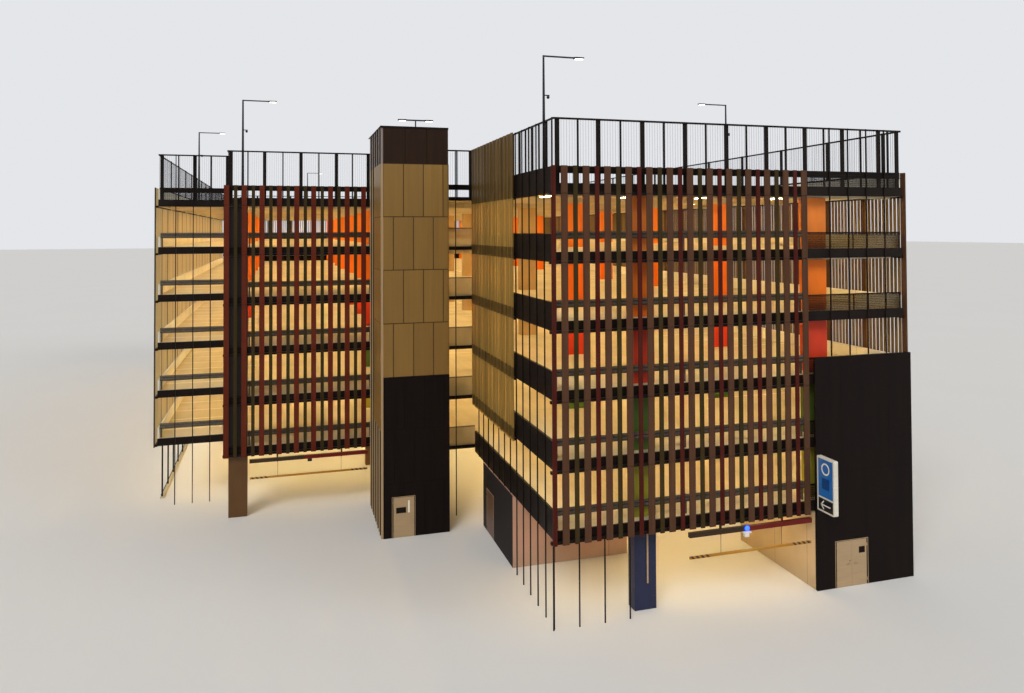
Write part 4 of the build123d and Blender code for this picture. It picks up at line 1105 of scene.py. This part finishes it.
class CARPARK_OT_entry_beacon(bpy.types.Operator):
    """Set a blue beacon on the face of the near clearance beam, and a housing under each beam"""
    bl_idname = "carpark.entry_beacon"
    bl_label = "Entry Beacon"

    def execute(self, context):
        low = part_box("clearance_beams")[0]
        middle, face, foot = beam_split("near_height_bar"), low.y, low.z
        case, dish, lens, housing = bmesh.new(), bmesh.new(), bmesh.new(), bmesh.new()
        # each block: half its width, then its front and back from the beam's face, foot and top from its foot
        blocks = ((case, 0.075, -0.012, 0.0, 0.01, 0.13, 0.005), (dish, 0.1, -0.06, 0.08, -0.03, 0.0, 0.012),
                  (dish, 0.055, -0.03, 0.05, -0.12, -0.03, 0.01))
        for mesh, half, front, back, bottom, top, rounding in blocks:
            rounded_block(mesh, (middle - half, face + front, foot + bottom),
                          (middle + half, face + back, foot + top), rounding)
        dome = bmesh.ops.create_uvsphere(lens, u_segments=24, v_segments=12, radius=0.055)["verts"]
        bmesh.ops.scale(lens, vec=(1, 0.6, 1), verts=dome)
        bmesh.ops.translate(lens, vec=(middle, face - 0.03, foot + 0.07), verts=dome)

        left_parts = [part for part in loose_parts("clearance_beams") if extent(part, 0)[1] < NEAR_LEFT_X]
        left_beam = max(left_parts, key=lambda part: extent(part, 0)[1] - extent(part, 0)[0])
        centre, front, foot = sum(extent(left_beam, 0)) / 2, extent(left_beam, 1)[0], extent(left_beam, 2)[0]
        half, depth, height, rounding = 0.06, 0.08, 0.08, 0.01
        rounded_block(housing, (centre - half, front, foot - height),
                      (centre + half, front + depth, foot), rounding)
        finish_piece("left_beam_housing", housing, [named_material("lamp_powder_coat")])
        finish_piece("beacon_case", case, [named_material("sign_dark_blue_enamel")])
        finish_piece("beacon_dish", dish, [named_material("line_marking_paint")])
        finish_piece("beacon_lens", lens, [named_material("beacon_lens")])
        return {"FINISHED"}


def backdrop(tree, hex_colour, strength):
    """The world's light in one plain colour."""
    colour = opaque(to_linear(hex_colour))
    return add_node(tree, "ShaderNodeBackground", values={"Color": colour, "Strength": strength}).outputs[0]


class CARPARK_OT_stage(bpy.types.Operator):
    """Lay a pale floor, light it softly and set the camera"""
    bl_idname = "carpark.stage"
    bl_label = "Stage"

    def execute(self, context):
        scene = context.scene
        scene.view_settings.view_transform = "Standard"
        self.lay_floor(scene)
        self.light(scene)
        self.set_camera(scene)
        return {"FINISHED"}

    def lay_floor(self, scene):
        """A wide sheet of paper just under the building's feet."""
        mesh = bmesh.new()
        bmesh.ops.create_grid(mesh, x_segments=1, y_segments=1, size=400.0)
        data = bpy.data.meshes.new("floor")
        mesh.to_mesh(data)
        mesh.free()
        data.materials.append(studio_paper("floor_paper", "#d9d6d0"))
        floor = bpy.data.objects.new("floor", data)
        floor.location.z = -0.003
        scene.collection.objects.link(floor)

    def light(self, scene):
        """A soft world, seen paler than it lights, and two broad suns."""
        world = bpy.data.worlds.new("studio")
        scene.world = world
        world.use_nodes = True
        tree = world.node_tree
        tree.nodes.clear()
        rays = add_node(tree, "ShaderNodeLightPath").outputs
        seen = maths(tree, "MAXIMUM", rays["Is Camera Ray"],
                     maths(tree, "MAXIMUM", rays["Is Glossy Ray"], rays["Is Transmission Ray"]))
        soft, paper = backdrop(tree, "#e8ecf4", 0.55), backdrop(tree, "#e4e6ea", 1.0)
        both = add_node(tree, "ShaderNodeMixShader", {0: seen, 1: soft, 2: paper}).outputs[0]
        add_node(tree, "ShaderNodeOutputWorld", {"Surface": both})
        for name, strength, tilt, turn in (("key", 1.7, 48, -38), ("fill", 0.6, 60, 55)):
            lamp = bpy.data.lights.new(name, "SUN")
            lamp.energy = strength
            lamp.angle = math.radians(25)
            holder = bpy.data.objects.new(name, lamp)
            holder.rotation_euler = (math.radians(tilt), 0, math.radians(turn))
            scene.collection.objects.link(holder)

    def set_camera(self, scene):
        """The photograph's camera: its lens in pixels, its place in metres and its turns in radians."""
        image_width, image_height, centre_row, focal_pixels = 1024, 693, 215.89, 777.72
        place, heading, pitch, roll = (-5.1853, -32.9411, 7.9743), 0.28744, 0.01967, -0.00421
        camera = bpy.data.cameras.new("camera")
        camera.sensor_width = 36.0
        camera.lens = focal_pixels * camera.sensor_width / image_width
        camera.shift_y = (centre_row - image_height / 2) / image_width
        camera.clip_end = 1000
        holder = bpy.data.objects.new("camera", camera)
        turn = (Matrix.Rotation(-heading, 4, "Z") @ Matrix.Rotation(math.radians(90) + pitch, 4, "X")
                @ Matrix.Rotation(roll, 4, "Z"))
        holder.matrix_world = Matrix.Translation(place) @ turn
        scene.collection.objects.link(holder)
        scene.camera = holder


OPERATORS = [
    CARPARK_OT_finishes, CARPARK_OT_fence_wires, CARPARK_OT_barrier_wires, CARPARK_OT_bronze_blades,
    CARPARK_OT_side_blades, CARPARK_OT_ceiling_lights, CARPARK_OT_bay_lines, CARPARK_OT_balustrade_rails,
    CARPARK_OT_tower_trim, CARPARK_OT_tower_side_panels, CARPARK_OT_door_trim, CARPARK_OT_sign_faces,
    CARPARK_OT_lamp_lenses, CARPARK_OT_column_conduit, CARPARK_OT_entry_beacon, CARPARK_OT_stage,
]


class CARPARK_PT_panel(bpy.types.Panel):
    """Lists the car park's pieces"""
    bl_idname = "CARPARK_PT_panel"
    bl_label = "Car Park"
    bl_space_type = "VIEW_3D"
    bl_region_type = "UI"
    bl_category = "Car Park"

    def draw(self, context):
        for operator in OPERATORS:
            self.layout.operator(operator.bl_idname)
        for group in (context.scene.car_park_sizes, context.scene.car_park_finishes):
            for key in group.__annotations__:
                self.layout.prop(group, key)


CLASSES = [CarParkFinishes, CarParkSizes, *OPERATORS, CARPARK_PT_panel]


def register():
    """Registers the classes and the settings on the scene."""
    for each in CLASSES:
        bpy.utils.register_class(each)
    bpy.types.Scene.car_park_finishes = PointerProperty(type=CarParkFinishes)
    bpy.types.Scene.car_park_sizes = PointerProperty(type=CarParkSizes)


def unregister():
    """Takes the settings and the classes away again."""
    del bpy.types.Scene.car_park_sizes
    del bpy.types.Scene.car_park_finishes
    for each in reversed(CLASSES):
        bpy.utils.unregister_class(each)


def main():
    """Makes every piece in order."""
    register()
    for operator in OPERATORS:
        group, name = operator.bl_idname.split(".")
        getattr(getattr(bpy.ops, group), name)()


if __name__ == "__main__":
    main()
